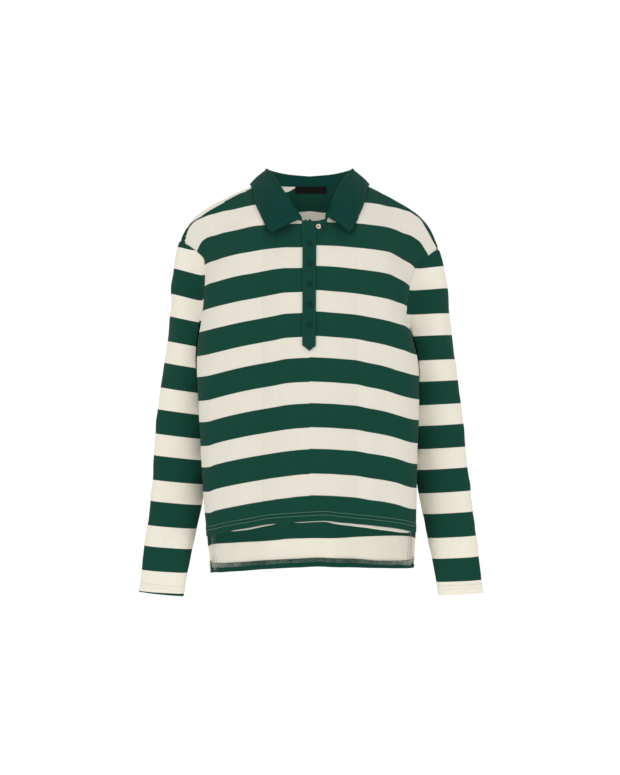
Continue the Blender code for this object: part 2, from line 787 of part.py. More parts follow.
def sleeve_folds(grid, side):
    """Adds the soft slack of the sleeve, as ridges and troughs part of the way round."""
    angle = np.arange(grid.shape[1]) / grid.shape[1]
    centre = grid.mean(axis=1, keepdims=True)
    away = grid - centre
    away[..., 2] = 0
    away = unit(away)
    level = grid[..., 2]
    for i in range(len(SLEEVE_FOLDS["z"])):
        turn = 2 * math.pi * (angle - SLEEVE_FOLDS["phase"][i] * side)
        part = 0.5 + 0.5 * np.cos(turn)
        middle = SLEEVE_FOLDS["z"][i] + 0.008 * np.sin(turn)
        bell = np.exp(-(((level - middle) / SLEEVE_FOLDS["half_width"][i]) ** 2))
        grid = grid + away * (SLEEVE_FOLDS["height"][i] * bell * part)[..., None]
    return grid


def sleeve_grid(side, front, back, trees):
    """All rings of a sleeve, from the armhole down to the cuff, and its ways out."""
    seam, outwards, onward, corner = armhole_ring(side, front, back)
    count = len(seam)
    start = seam + onward * SEAM_GAP / corner
    leave_way = onward
    for _ in range(3):
        leave_way = unit(leave_way + 0.5 * (np.roll(leave_way, 1, 0) + np.roll(leave_way, -1, 0)))
    top = SLEEVE["z"][0]
    first = sleeve_ring(side, top, count)
    down = (sleeve_ring(side, top - 0.004, count) - first) / 0.004
    crown = (0.5 + 0.5 * np.cos(2 * math.pi * np.arange(count) / count))[:, None]
    under = 1 - crown
    leave = leave_way * (0.012 + 0.085 * crown + 0.022 * under) + outwards * 0.050 * under**2
    arrive = down * (0.030 + 0.110 * crown)
    rings = []
    for u in SLEEVE_HEAD:
        near = (1 + 2 * u) * (1 - u) ** 2 * start + u * (1 - u) ** 2 * leave
        far = u * u * (3 - 2 * u) * first + u * u * (u - 1) * arrive
        rings.append(near + far)
    heights = np.linspace(top, SLEEVE["z"][-1], SLEEVE_RINGS)
    rings.extend(sleeve_ring(side, z, count) for z in heights)
    grid = np.array(rings)
    whole = ease((np.arange(len(grid)) - 1) / 4)[:, None, None]
    grid = grid + (sleeve_folds(grid, side) - grid) * whole
    grid = press_off_body(side, grid)
    clearance = BODY_CLEARANCE * ease(np.arange(len(grid)) / 4)
    grid = keep_grid_clear(grid, trees, clearance, 1, True)
    ways = grid_normals(grid, closed=True)
    from_arm = grid - grid.mean(axis=1, keepdims=True)
    if np.sum(ways * from_arm) < 0:
        ways = -ways
    ways[0] = outwards
    return grid, ways


def make_sleeve(side, front, back, trees, collection):
    """One sleeve as a cloth tube, open at the armhole and at the cuff."""
    name = "sleeve_left" if side > 0 else "sleeve_right"
    grid, ways = sleeve_grid(side, front, back, trees)
    shape = cloth_wall(grid, grid - ways * WALL, closed=True)
    return add_object(name, shape, "cream_jersey", collection)


# ---------------------------------------------------------------- collar


def neck_edge(side, front, back):
    """The neckline from the middle of the front round one side to the middle of the back:
    its turns in degrees, the points of its outer and inner edge, and the way up its cloth."""
    turns = []
    outer = []
    ways = []
    for panel in (front, back):
        middle = panel.points.shape[1] // 2
        count = len(NECK_TURNS)
        for k in range(count):
            column = middle + k * side
            if panel.front and side < 0:
                column -= 1
            turns.append(NECK_TURNS[k] if panel.front else 180 - NECK_TURNS[k])
            outer.append(panel.points[0, column])
            ways.append(panel.outwards[0, column])
    order = np.argsort(np.array(turns), kind="stable")
    turns = np.array(turns, float)[order]
    turns[turns == 90] = (89.999, 90.001)
    outer = np.array(outer)[order]
    ways = np.array(ways)[order]
    along = np.gradient(outer, axis=0)
    along[turns == 89.999] = along[turns == 90.001] = outer[turns > 90.001][0] - outer[turns < 89][-1]
    up = unit(np.cross(along, ways))
    to_neck = np.array([0.0, NECK_CENTRE_Y, 0.02]) - outer * (1, 1, 0)
    up *= np.where(np.sum(up * to_neck, axis=1) < 0, -1, 1)[:, None]
    return turns, outer, outer - ways * WALL, up


def along_neck(turns, values, turn):
    """Reads a row of points at any turn round the neck."""
    return np.array([np.interp(turn, turns, values[:, k]) for k in range(3)])


def collar_section(way, turn, side, neck):
    """One section across the collar, on its side that shows: from the neck seam up the stand,
    over the fold and down the leaf. Returns it with the point behind the foot."""
    turns, outer_edge, inner_edge, up = neck
    rise = unit(along_neck(turns, up, turn)) * SEAM_GAP
    foot = along_neck(turns, inner_edge, turn) + rise
    behind_foot = along_neck(turns, outer_edge, turn) + rise
    past = along_neck(turns, inner_edge, min(turn + 4, 180.0))
    before = along_neck(turns, inner_edge, max(turn - 4, 0.0))
    along = past - before
    inward = unit(np.array([along[1], -along[0], 0.0]))
    if np.dot(inward[:2], foot[:2] - np.array([0.0, NECK_CENTRE_Y])) > 0:
        inward = -inward
    fold = np.array([float(read(COLLAR, "way", "fold_" + k, way)) for k in "xyz"])
    edge = np.array([float(read(COLLAR, "way", "edge_" + k, way)) for k in "xyz"])
    shift = np.array(COLLAR_END_SHIFT[side]) * (1 - ease(way / COLLAR_END_REACH))
    fold = (fold + shift) * (side, 1, 1)
    edge = (edge + shift * (0.25, 0, 0.25)) * (side, 1, 1)
    fold_width = FOLD_HALF_WIDTH * (END_FOLD_SHARE + (1 - END_FOLD_SHARE) * float(ease(way / 0.2)))
    lowered = np.array([0, 0, fold_width])
    inner = fold + inward * fold_width - lowered
    outer = fold - inward * fold_width - lowered
    points = [foot, (foot + inner) / 2, inner]
    for turn_over in (45, 90, 135):
        angle = math.radians(turn_over)
        sway = inward * fold_width * math.cos(angle)
        points.append(fold + sway + lowered * (math.sin(angle) - 1))
    points.append(outer)
    out = -inward * 0.8 + np.array([0, 0, 0.6])
    for share in (0.22, 0.45, 0.70, 0.92, 1.0):
        bulge = LEAF_BULGE * 4 * share * (1 - share)
        points.append(outer + (edge - outer) * share + out * bulge)
    return np.array(points), behind_foot


def collar_half(side, front, back):
    """Sections of the collar on one side, from its front end to the middle of the back."""
    neck = neck_edge(side, front, back)
    end_x = COLLAR["fold_x"][0] + COLLAR_END_SHIFT[side][0]
    first = math.degrees(math.asin(end_x / NECK_HALF_WIDTH))
    turns = [first] + [turn for turn in range(15, 181, 15) if turn > first + 4]
    sections = []
    for turn in turns:
        way = (turn - first) / (180 - first)
        sections.append(collar_section(way, turn, side, neck))
    return sections


def make_collar(front, back, trees, collection):
    """The collar as one folded cloth wall: the stand inside and the leaf turned over it."""
    sections = collar_half(-1, front, back) + collar_half(1, front, back)[-2::-1]
    grid = np.array([points for points, _ in sections])
    behind_foot = np.array([foot for _, foot in sections])
    across = grid.transpose(1, 0, 2)
    clearance = np.full(len(across), WALL + LEAF_LIFT)
    grid = keep_grid_clear(across, trees, clearance, COLLAR_LEAF_FIRST, False).transpose(1, 0, 2)
    ways = grid_normals(grid)
    leaf = slice(COLLAR_LEAF_FIRST, None)
    if np.sum(ways[:, leaf, :2] * grid[:, leaf, :2]) < 0:
        ways = -ways
    behind = grid - ways * WALL
    behind[:, 0] = behind_foot
    return add_object("collar", cloth_wall(grid, behind), "green_rib", collection)


# ---------------------------------------------------------------- placket, buttons, label


def strip_grid(rows, out, front, columns):
    """A strip laid on the front: points on the front's own rows between the strip's edges,
    moved out, with a last row at the strip's foot."""
    middle = front.points.shape[1] // 2
    foot = rows["z"][-1]
    heights = front.points[:, middle, 2]
    last = int(np.searchsorted(-heights, -foot - 0.003))
    grid = []
    for i in list(range(1, last)) + [None]:
        z = foot if i is None else heights[i]
        left = float(read(rows, "z", "x_left", z))
        right = float(read(rows, "z", "x_right", z))
        x = np.linspace(left, right, columns)
        if i is None:
            share = (heights[last - 1] - foot) / (heights[last - 1] - heights[last])
            upper = on_row(front.points[last - 1], x)
            grid.append(upper + (on_row(front.points[last], x) - upper) * share)
        else:
            grid.append(on_row(front.points[i], x))
    grid = np.array(grid)
    normals = grid_normals(grid)
    normals *= np.where(normals[..., 1:2] > 0, -1, 1)
    return grid + normals * out


def on_row(row, x):
    """Points at these x on the straight runs between a row's points."""
    return np.stack([x] + [np.interp(x, row[:, 0], row[:, k]) for k in (1, 2)], axis=-1)


def make_placket(front, collection):
    """The under strip on the front, and over it the outer strip with its pointed end."""
    trees = []
    for name, rows, out, columns in (
        ("placket_under", UNDER_STRIP, UNDER_OUT, 8),
        ("placket_outer", OUTER_STRIP, OUTER_OUT, 7),
    ):
        grid = strip_grid(rows, out, front, columns)
        if name == "placket_outer":
            tip = grid[-1].copy()
            share = 1 - np.abs(np.linspace(-1, 1, columns) - TIP_X / 0.011)
            tip[:, 2] -= TIP_LENGTH * np.clip(share, 0.02, 1)
            grid = np.concatenate([grid, tip[None]])
        piece = add_object(name, open_skin(grid), "green_rib", collection)
        give_thickness(piece, STRIP_WALL)
        outwards = np.tile((0.0, -1.0, 0.0), (*grid.shape[:2], 1))
        trees.append(surface_tree(grid, outwards))
    return trees


def make_button(name, x, z, tree, material, collection):
    """A round button with a raised rim, turned about its own axis and laid on its strip."""
    place = [seen_from_front(tree, x + dx, z) for dx in (-0.003, 0.0, 0.003)]
    above = seen_from_front(tree, x, z + 0.004)
    below = seen_from_front(tree, x, z - 0.004)
    normal = Vector(np.cross(place[2] - place[0], above - below)).normalized()
    if normal.y > 0:
        normal.negate()
    radius = BUTTON_DIAMETER / 2
    profile = [
        (0.0, BUTTON_HEIGHT - BUTTON_DISH),
        (radius - BUTTON_RIM - 0.0004, BUTTON_HEIGHT - BUTTON_DISH),
        (radius - BUTTON_RIM, BUTTON_HEIGHT),
        (radius - 0.0004, BUTTON_HEIGHT),
        (radius, BUTTON_HEIGHT - 0.0005),
        (radius, 0.0007),
        (radius - 0.0006, 0.0),
        (0.0, 0.0),
    ]
    shape = bmesh.new()
    chain = [shape.verts.new((r, 0.0, h)) for r, h in profile]
    edges = [shape.edges.new(pair) for pair in zip(chain, chain[1:])]
    bmesh.ops.spin(
        shape,
        geom=chain + edges,
        cent=(0, 0, 0),
        axis=(0, 0, 1),
        angle=2 * math.pi,
        steps=BUTTON_SIDES,
        use_merge=True,
    )
    bmesh.ops.remove_doubles(shape, verts=shape.verts, dist=MERGE)
    bmesh.ops.recalc_face_normals(shape, faces=shape.faces)
    piece = add_object(name, shape, material, collection)
    piece.rotation_euler = normal.to_track_quat("Z", "Y").to_euler()
    piece.location = Vector(place[1]) + normal * (SEAM_GAP + BUTTON_LIFT)
    return piece


def make_buttons(under, outer, collection):
    """The open button at the top of the under strip, and the five on the outer strip."""
    make_button("button_1", TOP_BUTTON[0], TOP_BUTTON[1], under, "pearl_button", collection)
    for i in range(ROW_BUTTONS):
        z = ROW_BUTTON_Z - i * ROW_BUTTON_STEP
        make_button(f"button_{i + 2}", 0.0, z, outer, "green_button", collection)


def make_label(back, collection):
    """The blank label inside the back, below the collar's seam."""
    inside = surface_tree(back.inner(), -back.outwards)
    grid = []
    for z in np.linspace(LABEL_Z[1], LABEL_Z[0], 4):
        row = [seen_from_front(inside, x, z, from_y=0.0) for x in np.linspace(*LABEL_X, 7)]
        grid.append(row)
    grid = np.array(grid)
    ways = grid_normals(grid)
    ways *= np.where(ways[..., 1:2] > 0, -1, 1)
    grid = grid + ways * (SEAM_GAP + LABEL_WALL)
    piece = add_object("neck_label", open_skin(grid), "black_label", collection)
    return give_thickness(piece, LABEL_WALL)


def main():
    """Builds every piece of the shirt."""
    clear_scene()
    collection = bpy.data.collections.new("polo_shirt")
    bpy.context.scene.collection.children.link(collection)
    front = Panel(True)
    back = Panel(False)
    share_seams(front, back)
    make_panel(front, collection)
    make_panel(back, collection)
    body = [surface_tree(panel.points, panel.outwards) for panel in (front, back)]
    make_sleeve(-1, front, back, body, collection)
    make_sleeve(1, front, back, body, collection)
    under, outer = make_placket(front, collection)
    make_collar(front, back, body + [under, outer], collection)
    make_buttons(under, outer, collection)
    make_label(back, collection)


main()
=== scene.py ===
"""Looks of the long-sleeved striped polo shirt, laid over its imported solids.

Metres, +Z up, the wearer faces -Y and the wearer's left arm lies at +X. Each cloth is a thin
shell that is worked out from the same tables as its solid, at a finer step, with the sewing,
the hems and the folds that the solids leave out. A panel is laid out by "across", from -1 to 1
between its edges, and "drop", from 0 at the shoulder to 1 at the level of the front hem. A
sleeve is laid out by its ring, from the armhole to the cuff, and its place round the ring.
"""

import logging
import math
from dataclasses import dataclass, field
from enum import Enum

import bmesh
import bpy
import numpy as np
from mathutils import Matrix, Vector
from mathutils.bvhtree import BVHTree

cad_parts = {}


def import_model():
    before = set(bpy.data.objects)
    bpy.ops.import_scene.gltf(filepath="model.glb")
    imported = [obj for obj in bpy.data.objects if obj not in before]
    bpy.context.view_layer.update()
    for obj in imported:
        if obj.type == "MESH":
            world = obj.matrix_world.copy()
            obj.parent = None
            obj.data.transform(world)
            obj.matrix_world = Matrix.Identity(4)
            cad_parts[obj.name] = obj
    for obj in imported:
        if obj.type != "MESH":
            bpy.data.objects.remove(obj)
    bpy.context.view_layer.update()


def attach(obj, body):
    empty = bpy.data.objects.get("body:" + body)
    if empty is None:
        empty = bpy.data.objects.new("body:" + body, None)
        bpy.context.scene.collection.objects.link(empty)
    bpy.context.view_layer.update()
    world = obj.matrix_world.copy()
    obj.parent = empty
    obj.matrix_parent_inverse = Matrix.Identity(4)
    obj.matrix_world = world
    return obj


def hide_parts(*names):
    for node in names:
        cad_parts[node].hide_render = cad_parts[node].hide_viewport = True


LOG = logging.getLogger("polo_shirt")
BODY = "root"
Grid = np.ndarray


# ------------------------------------------------------------------ tables of the cut


@dataclass(frozen=True)
class Table:
    """A short table with named columns, read at any value of one of them."""

    columns: str
    rows: tuple[tuple[float, ...], ...]

    def column(self, name: str) -> Grid:
        """The values of one column, from the first row to the last."""
        place = self.columns.split().index(name)
        return np.array([row[place] for row in self.rows], float)

    def read(self, key: str, name: str, at: Grid | float) -> Grid:
        """Reads a column on a cubic curve through its rows, with no overshoot.

        Args:
            key: The column that "at" is a value of. It may rise or fall.
            name: The column to read.
            at: One value or an array of them.

        Returns:
            The column's values there.
        """
        order = np.argsort(self.column(key))
        known, values = self.column(key)[order], self.column(name)[order]
        at = np.clip(np.asarray(at, float), known[0], known[-1])
        step = np.diff(known)
        rise = np.diff(values) / step
        slope = np.zeros(len(known))
        slope[0], slope[-1] = rise[0], rise[-1]
        both = rise[:-1] * rise[1:] > 0
        total = np.where(both, rise[:-1] + rise[1:], 1)
        slope[1:-1] = np.where(both, 2 * rise[:-1] * rise[1:] / total, 0)
        i = np.clip(np.searchsorted(known, at, side="right") - 1, 0, len(step) - 1)
        u = (at - known[i]) / step[i]
        near = (1 + 2 * u) * (1 - u) ** 2 * values[i] + u * (1 - u) ** 2 * step[i] * slope[i]
        far = u * u * (3 - 2 * u) * values[i + 1] + u * u * (u - 1) * step[i] * slope[i + 1]
        return near + far

    def sided(self, key: str, name: str, at: Grid, across: Grid) -> Grid:
        """Reads name_left where across is below 0, and name_right elsewhere."""
        left = self.read(key, name + "_left", at)
        return np.where(across < 0, left, self.read(key, name + "_right", at))


WALL = 0.0015
NECK_HALF_WIDTH = 0.0765
SHOULDER_HALF_WIDTH = 0.2130
NECK_SHARE = NECK_HALF_WIDTH / SHOULDER_HALF_WIDTH
NECK_SIDE_Y = -0.012
NECK_CENTRE_Y = -0.020
NECK_SIDE_Z = 0.008
FRONT_NECK_REACH = 0.088
FRONT_NECK_DROP = 0.072
FRONT_NECK_FLAT = 2.8
FRONT_NECK_ROUND = 1.15
BACK_NECK_REACH = 0.067
BACK_NECK_DROP = 0.0025
SIDE_HEM_Z = -0.574
BACK_HEM_Z = -0.6350
BACK_HEM_CORNER = 0.010
ARMPIT_DROP = 0.285
VENT_DROP = 0.905
VENT_SPREAD = 0.004
BACK_LAST_DROP = 1.126
SECTION_POWER = 2.5
SHOULDER_ROUND_FRONT = 0.75
SHOULDER_ROUND_BACK = 0.60
ROUNDING_DROP = 0.20
LEVEL_DROP = 0.10
LEVEL_POWER = 6
DRAW_POWER = 1.2
ARMHOLE_DROPS = (0, 0.003, 0.010, 0.022, 0.04, 0.065, 0.10, 0.14, 0.18, 0.215, 0.24, 0.258, 0.272, 0.285)

SHOULDER_SEAM = Table(
    "across  z_left   z_right  y_left  y_right  ridge_left ridge_right",
    (
        (0.00, 0.0080, 0.0080, -0.012, -0.012, 0.000, 0.000),
        (NECK_SHARE, 0.0080, 0.0080, -0.012, -0.012, 0.022, 0.020),
        (0.47, -0.0022, -0.0010, -0.022, -0.013, 0.030, 0.026),
        (0.66, -0.0222, -0.0225, -0.030, -0.013, 0.036, 0.026),
        (0.82, -0.0415, -0.0435, -0.030, -0.010, 0.036, 0.024),
        (0.89, -0.0530, -0.0580, -0.024, -0.008, 0.032, 0.020),
        (0.94, -0.0655, -0.0730, -0.017, -0.006, 0.022, 0.014),
        (1.00, -0.0880, -0.1020, -0.006, -0.004, 0.000, 0.000),
    ),
)
FRONT_EDGE = Table(
    "drop   x_left   x_right   y       turn",
    (
        (0.000, 0.2135, 0.2125, -0.006, 0.80),
        (0.003, 0.2125, 0.2115, -0.014, 0.80),
        (0.010, 0.2080, 0.2060, -0.022, 0.81),
        (0.022, 0.1985, 0.1985, -0.029, 0.84),
        (0.040, 0.1875, 0.1880, -0.034, 0.90),
        (0.075, 0.1735, 0.1745, -0.038, 0.97),
        (0.150, 0.1710, 0.1625, -0.038, 1.00),
        (0.230, 0.1745, 0.1580, -0.028, 1.00),
        (0.285, 0.1785, 0.1640, -0.020, 1.00),
        (0.360, 0.1840, 0.1740, -0.020, 1.00),
        (0.430, 0.1850, 0.1790, -0.020, 1.00),
        (0.550, 0.1825, 0.1795, -0.018, 1.00),
        (0.700, 0.1790, 0.1770, -0.016, 1.00),
        (0.850, 0.1750, 0.1755, -0.014, 1.00),
        (1.000, 0.1690, 0.1745, -0.012, 1.00),
        (1.130, 0.1645, 0.1720, -0.012, 1.00),
    ),
)
BACK_EDGE = Table(
    "drop   x_left   x_right   y       turn",
    (
        (0.000, 0.2135, 0.2125, -0.006, 0.80),
        (0.003, 0.2130, 0.2120, 0.004, 0.80),
        (0.012, 0.2095, 0.2080, 0.018, 0.80),
        (0.030, 0.2010, 0.1990, 0.034, 0.80),
        (0.060, 0.1880, 0.1850, 0.050, 0.80),
        (0.100, 0.1750, 0.1710, 0.060, 0.80),
        (0.160, 0.1600, 0.1560, 0.062, 0.82),
        (0.215, 0.1560, 0.1500, 0.050, 0.88),
        (0.255, 0.1640, 0.1540, 0.026, 0.96),
        (0.275, 0.1740, 0.1610, 0.000, 1.00),
        (0.285, 0.1785, 0.1640, -0.020, 1.00),
    ),
)
MIDDLE = Table(
    "drop   front_y  back_y",
    (
        (0.00, -0.100, 0.055),
        (0.10, -0.112, 0.094),
        (0.20, -0.120, 0.105),
        (0.30, -0.123, 0.106),
        (0.42, -0.121, 0.102),
        (0.60, -0.114, 0.096),
        (0.80, -0.108, 0.096),
        (1.00, -0.105, 0.099),
        (1.13, -0.104, 0.101),
    ),
)
FRONT_HEM = Table(
    "across  z",
    (
        (-1.00, -0.5740),
        (-0.70, -0.5622),
        (-0.34, -0.5510),
        (0.00, -0.5455),
        (0.21, -0.5440),
        (0.60, -0.5550),
        (1.00, -0.5720),
    ),
)
BACK_LEVEL = Table("across z", ((-1.00, -0.5740), (0.00, -0.5600), (1.00, -0.5720)))
FRONT_FOLDS = Table(
    "x_top   x_foot  z_top   z_foot  half_width  height",
    (
        (-0.058, -0.064, -0.300, -0.600, 0.020, -0.0030),
        (-0.012, -0.020, -0.330, -0.600, 0.024, 0.0022),
        (0.062, 0.068, -0.290, -0.600, 0.017, -0.0034),
        (0.092, 0.098, -0.300, -0.600, 0.014, 0.0024),
        (0.122, 0.124, -0.330, -0.600, 0.013, -0.0026),
        (-0.120, -0.112, -0.360, -0.600, 0.018, 0.0022),
        (0.130, 0.152, -0.085, -0.235, 0.011, -0.0045),
        (-0.140, -0.158, -0.080, -0.230, 0.011, -0.0038),
    ),
)
BACK_FOLDS = Table(
    "x_top   x_foot  z_top   z_foot  half_width  height",
    (
        (-0.070, -0.074, -0.260, -0.680, 0.022, -0.0036),
        (-0.030, -0.034, -0.300, -0.680, 0.020, 0.0026),
        (0.028, 0.036, -0.240, -0.680, 0.018, -0.0038),
        (0.064, 0.070, -0.280, -0.680, 0.016, 0.0028),
        (0.110, 0.104, -0.340, -0.680, 0.018, -0.0024),
        (-0.118, -0.110, -0.320, -0.680, 0.016, 0.0022),
        (0.120, 0.142, -0.090, -0.230, 0.012, -0.0042),
        (-0.122, -0.146, -0.085, -0.235, 0.012, -0.0040),
    ),
)
FOLD_FADE = 0.060
SLEEVE = Table(
    "z       outer_left outer_right half_width half_depth y",
    (
        (-0.275, 0.2390, 0.2405, 0.0460, 0.0500, 0.042),
        (-0.3515, 0.2511, 0.2513, 0.0465, 0.0400, 0.047),
        (-0.4422, 0.2602, 0.2617, 0.0452, 0.0310, 0.046),
        (-0.5165, 0.2650, 0.2703, 0.0430, 0.0240, 0.039),
        (-0.6006, 0.2756, 0.2800, 0.0398, 0.0180, 0.030),
        (-0.6740, 0.2825, 0.2870, 0.0366, 0.0140, 0.024),
    ),
)
SLEEVE_FOLDS = Table(
    "z       phase   half_width  height",
    (
        (-0.165, 0.08, 0.016, 0.0026),
        (-0.205, 0.30, 0.014, -0.0028),
        (-0.330, 0.62, 0.014, -0.0020),
        (-0.395, 0.10, 0.012, 0.0018),
        (-0.430, 0.55, 0.012, -0.0022),
        (-0.500, 0.85, 0.012, 0.0016),
        (-0.560, 0.20, 0.011, -0.0014),
    ),
)
SLEEVE_HEAD = (0, 0.04, 0.12, 0.22, 0.34, 0.48, 0.62, 0.76, 0.88, 1.0)
CUFF_TILT = {-1: 0.10, 1: 0.05}
BODY_CLEARANCE = 0.0035
COLLAR = Table(
    "way  fold_x  fold_y  fold_z   edge_x  edge_y  edge_z",
    (
        (0.00, 0.0130, -0.1005, -0.0580, 0.0602, -0.1185, -0.0836),
        (0.10, 0.0270, -0.0905, -0.0360, 0.0692, -0.1100, -0.0743),
        (0.20, 0.0405, -0.0720, -0.0160, 0.0772, -0.0960, -0.0583),
        (0.35, 0.0575, -0.0430, 0.0105, 0.0885, -0.0690, -0.0316),
        (0.47, 0.0675, -0.0150, 0.0255, 0.0937, -0.0380, -0.0080),
        (0.56, 0.0712, 0.0060, 0.0309, 0.0995, -0.0020, 0.0045),
        (0.70, 0.0610, 0.0345, 0.0295, 0.0900, 0.0400, 0.0000),
        (0.85, 0.0340, 0.0530, 0.0258, 0.0520, 0.0750, -0.0110),
        (1.00, 0.0000, 0.0590, 0.0234, 0.0000, 0.0860, -0.0150),
    ),
)
COLLAR_END_SHIFT = {-1: (0.0, 0.0, 0.0), 1: (0.0126, 0.0035, 0.0042)}
OUTER_STRIP = Table(
    "z       x_left   x_right",
    (
        (-0.0610, -0.0128, 0.0042),
        (-0.0740, -0.0120, 0.0078),
        (-0.0880, -0.0114, 0.0105),
        (-0.1600, -0.0114, 0.0100),
        (-0.2640, -0.0118, 0.0097),
    ),
)
UNDER_STRIP = Table(
    "z       x_left   x_right",
    (
        (-0.0622, 0.0045, 0.0285),
        (-0.0720, 0.0000, 0.0270),
        (-0.0860, -0.0080, 0.0180),
        (-0.0960, -0.0100, 0.0090),
        (-0.2380, -0.0100, 0.0082),
    ),
)

# Where the cream stripes begin, down the middle of each cloth: course 1 is the first one that
# shows below the collar. A stripe is cream for the first CREAM_SHARE of its course.
CREAM_SHARE = 0.470
FRONT_COURSES = Table(
    "z        course",
    (
        (0.0436, -1.0),
        (-0.0297, 0.0),
        (-0.0662, 0.487),
        (-0.1035, 1.0),
        (-0.1375, 1.487),
        (-0.1751, 2.0),
        (-0.2099, 2.487),
        (-0.2484, 3.0),
        (-0.2837, 3.487),
        (-0.3217, 4.0),
        (-0.3570, 4.487),
        (-0.3947, 5.0),
        (-0.4301, 5.487),
        (-0.4689, 6.0),
        (-0.5057, 6.487),
        (-0.6400, 6.990),
    ),
)
# How far a front stripe falls away from the middle to the sides, by its level in the middle.
DROOP_LEVELS = (-0.450, -0.300, -0.190, -0.120, -0.066, -0.030)
FRONT_DROOP = {
    -1: Table(
        "x       hem     body    bust    chest   neck    crown",
        (
            (0.0000, 0.0008, 0.0006, 0.0030, 0.0030, 0.0030, 0.0030),
            (0.0190, 0.0022, 0.0012, 0.0044, 0.0038, 0.0032, 0.0030),
            (0.0380, 0.0046, 0.0027, 0.0052, 0.0038, 0.0034, 0.0032),
            (0.0570, 0.0073, 0.0066, 0.0088, 0.0056, 0.0044, 0.0040),
            (0.0760, 0.0104, 0.0098, 0.0124, 0.0090, 0.0061, 0.0050),
            (0.0960, 0.0138, 0.0135, 0.0161, 0.0127, 0.0085, 0.0068),
            (0.1120, 0.0169, 0.0169, 0.0190, 0.0148, 0.0113, 0.0099),
            (0.1275, 0.0202, 0.0206, 0.0221, 0.0180, 0.0144, 0.0133),
            (0.1400, 0.0232, 0.0237, 0.0248, 0.0210, 0.0162, 0.0150),
            (0.1530, 0.0270, 0.0272, 0.0272, 0.0242, 0.0192, 0.0182),
            (0.1630, 0.0312, 0.0295, 0.0295, 0.0262, 0.0210, 0.0205),
            (0.1750, 0.0325, 0.0310, 0.0315, 0.0330, 0.0272, 0.0248),
            (0.1850, 0.0330, 0.0315, 0.0330, 0.0480, 0.0445, 0.0285),
            (0.1960, 0.0332, 0.0317, 0.0334, 0.0597, 0.0600, 0.0380),
            (0.2060, 0.0334, 0.0319, 0.0337, 0.0704, 0.0705, 0.0600),
            (0.2150, 0.0335, 0.0320, 0.0340, 0.0800, 0.0800, 0.0780),
        ),
    ),
    1: Table(
        "x       hem     body    bust    chest   neck    crown",
        (
            (0.0000, 0.0000, 0.0000, 0.0010, 0.0000, 0.0000, 0.0000),
            (0.0165, 0.0004, 0.0006, 0.0015, 0.0004, 0.0001, 0.0000),
            (0.0360, 0.0010, 0.0015, 0.0034, 0.0012, 0.0006, 0.0003),
            (0.0550, 0.0025, 0.0030, 0.0047, 0.0030, 0.0016, 0.0007),
            (0.0740, 0.0039, 0.0046, 0.0066, 0.0055, 0.0028, 0.0012),
            (0.0930, 0.0071, 0.0090, 0.0095, 0.0074, 0.0042, 0.0019),
            (0.1125, 0.0102, 0.0128, 0.0129, 0.0093, 0.0056, 0.0030),
            (0.1285, 0.0132, 0.0172, 0.0161, 0.0120, 0.0077, 0.0059),
            (0.1410, 0.0162, 0.0216, 0.0190, 0.0180, 0.0104, 0.0077),
            (0.1540, 0.0210, 0.0252, 0.0220, 0.0253, 0.0151, 0.0108),
            (0.1635, 0.0242, 0.0273, 0.0275, 0.0310, 0.0181, 0.0130),
            (0.1730, 0.0262, 0.0288, 0.0300, 0.0400, 0.0238, 0.0188),
            (0.1800, 0.0272, 0.0295, 0.0310, 0.0480, 0.0288, 0.0240),
            (0.1890, 0.0280, 0.0300, 0.0320, 0.0600, 0.0410, 0.0385),
            (0.2000, 0.0285, 0.0302, 0.0325, 0.0715, 0.0586, 0.0570),
            (0.2150, 0.0290, 0.0305, 0.0330, 0.0900, 0.0871, 0.0850),
        ),
    ),
}
BACK_COURSES = Table(
    "z        course",
    (
        (0.1235, -2.0),
        (0.0450, -1.0),
        (-0.0335, 0.0),
        (-0.1130, 1.0),
        (-0.1920, 2.0),
        (-0.2710, 3.0),
        (-0.3500, 4.0),
        (-0.4290, 5.0),
        (-0.5080, 6.0),
        (-0.5870, 7.0),
        (-0.6300, 7.470),
        (-0.6720, 8.0),
    ),
)
# The same for the back: its stripes follow the slope of the shoulders at its top and inside the
# collar they run level, and at its foot they fall a little to the left.
BACK_DROOP = Table(
    "x      neck     top      body     foot_left foot_right",
    (
        (0.000, 0.0000, 0.0000, 0.0000, 0.0000, 0.0000),
        (0.035, -0.0020, 0.0030, 0.0010, 0.0012, -0.0002),
        (0.060, -0.0200, 0.0180, 0.0020, 0.0034, -0.0008),
        (0.070, -0.0250, 0.0270, 0.0030, 0.0040, -0.0016),
        (0.075, 0.0310, 0.0310, 0.0036, 0.0044, -0.0020),
        (0.095, 0.0412, 0.0412, 0.0055, 0.0054, -0.0034),
        (0.130, 0.0462, 0.0462, 0.0090, 0.0063, -0.0056),
        (0.170, 0.0632, 0.0632, 0.0125, 0.0056, -0.0074),
        (0.190, 0.0738, 0.0738, 0.0130, 0.0056, -0.0078),
        (0.215, 0.0816, 0.0816, 0.0130, 0.0056, -0.0080),
    ),
)
# The shoulder seam as it is sewn: the back's cloth rolls this far over to the front.
ROLLED_SEAM = Table(
    "x       z_left   z_right",
    (
        (0.0000, 0.0200, 0.0200),
        (0.0800, 0.0060, 0.0060),
        (0.0988, -0.0070, -0.0022),
        (0.1201, -0.0178, -0.0130),
        (0.1403, -0.0287, -0.0222),
        (0.1593, -0.0402, -0.0290),
        (0.1741, -0.0503, -0.0390),
        (0.1870, -0.0575, -0.0500),
        (0.1959, -0.0640, -0.0600),
        (0.2016, -0.0765, -0.0700),
        (0.2057, -0.0925, -0.0800),
        (0.2150, -0.1100, -0.0900),
    ),
)
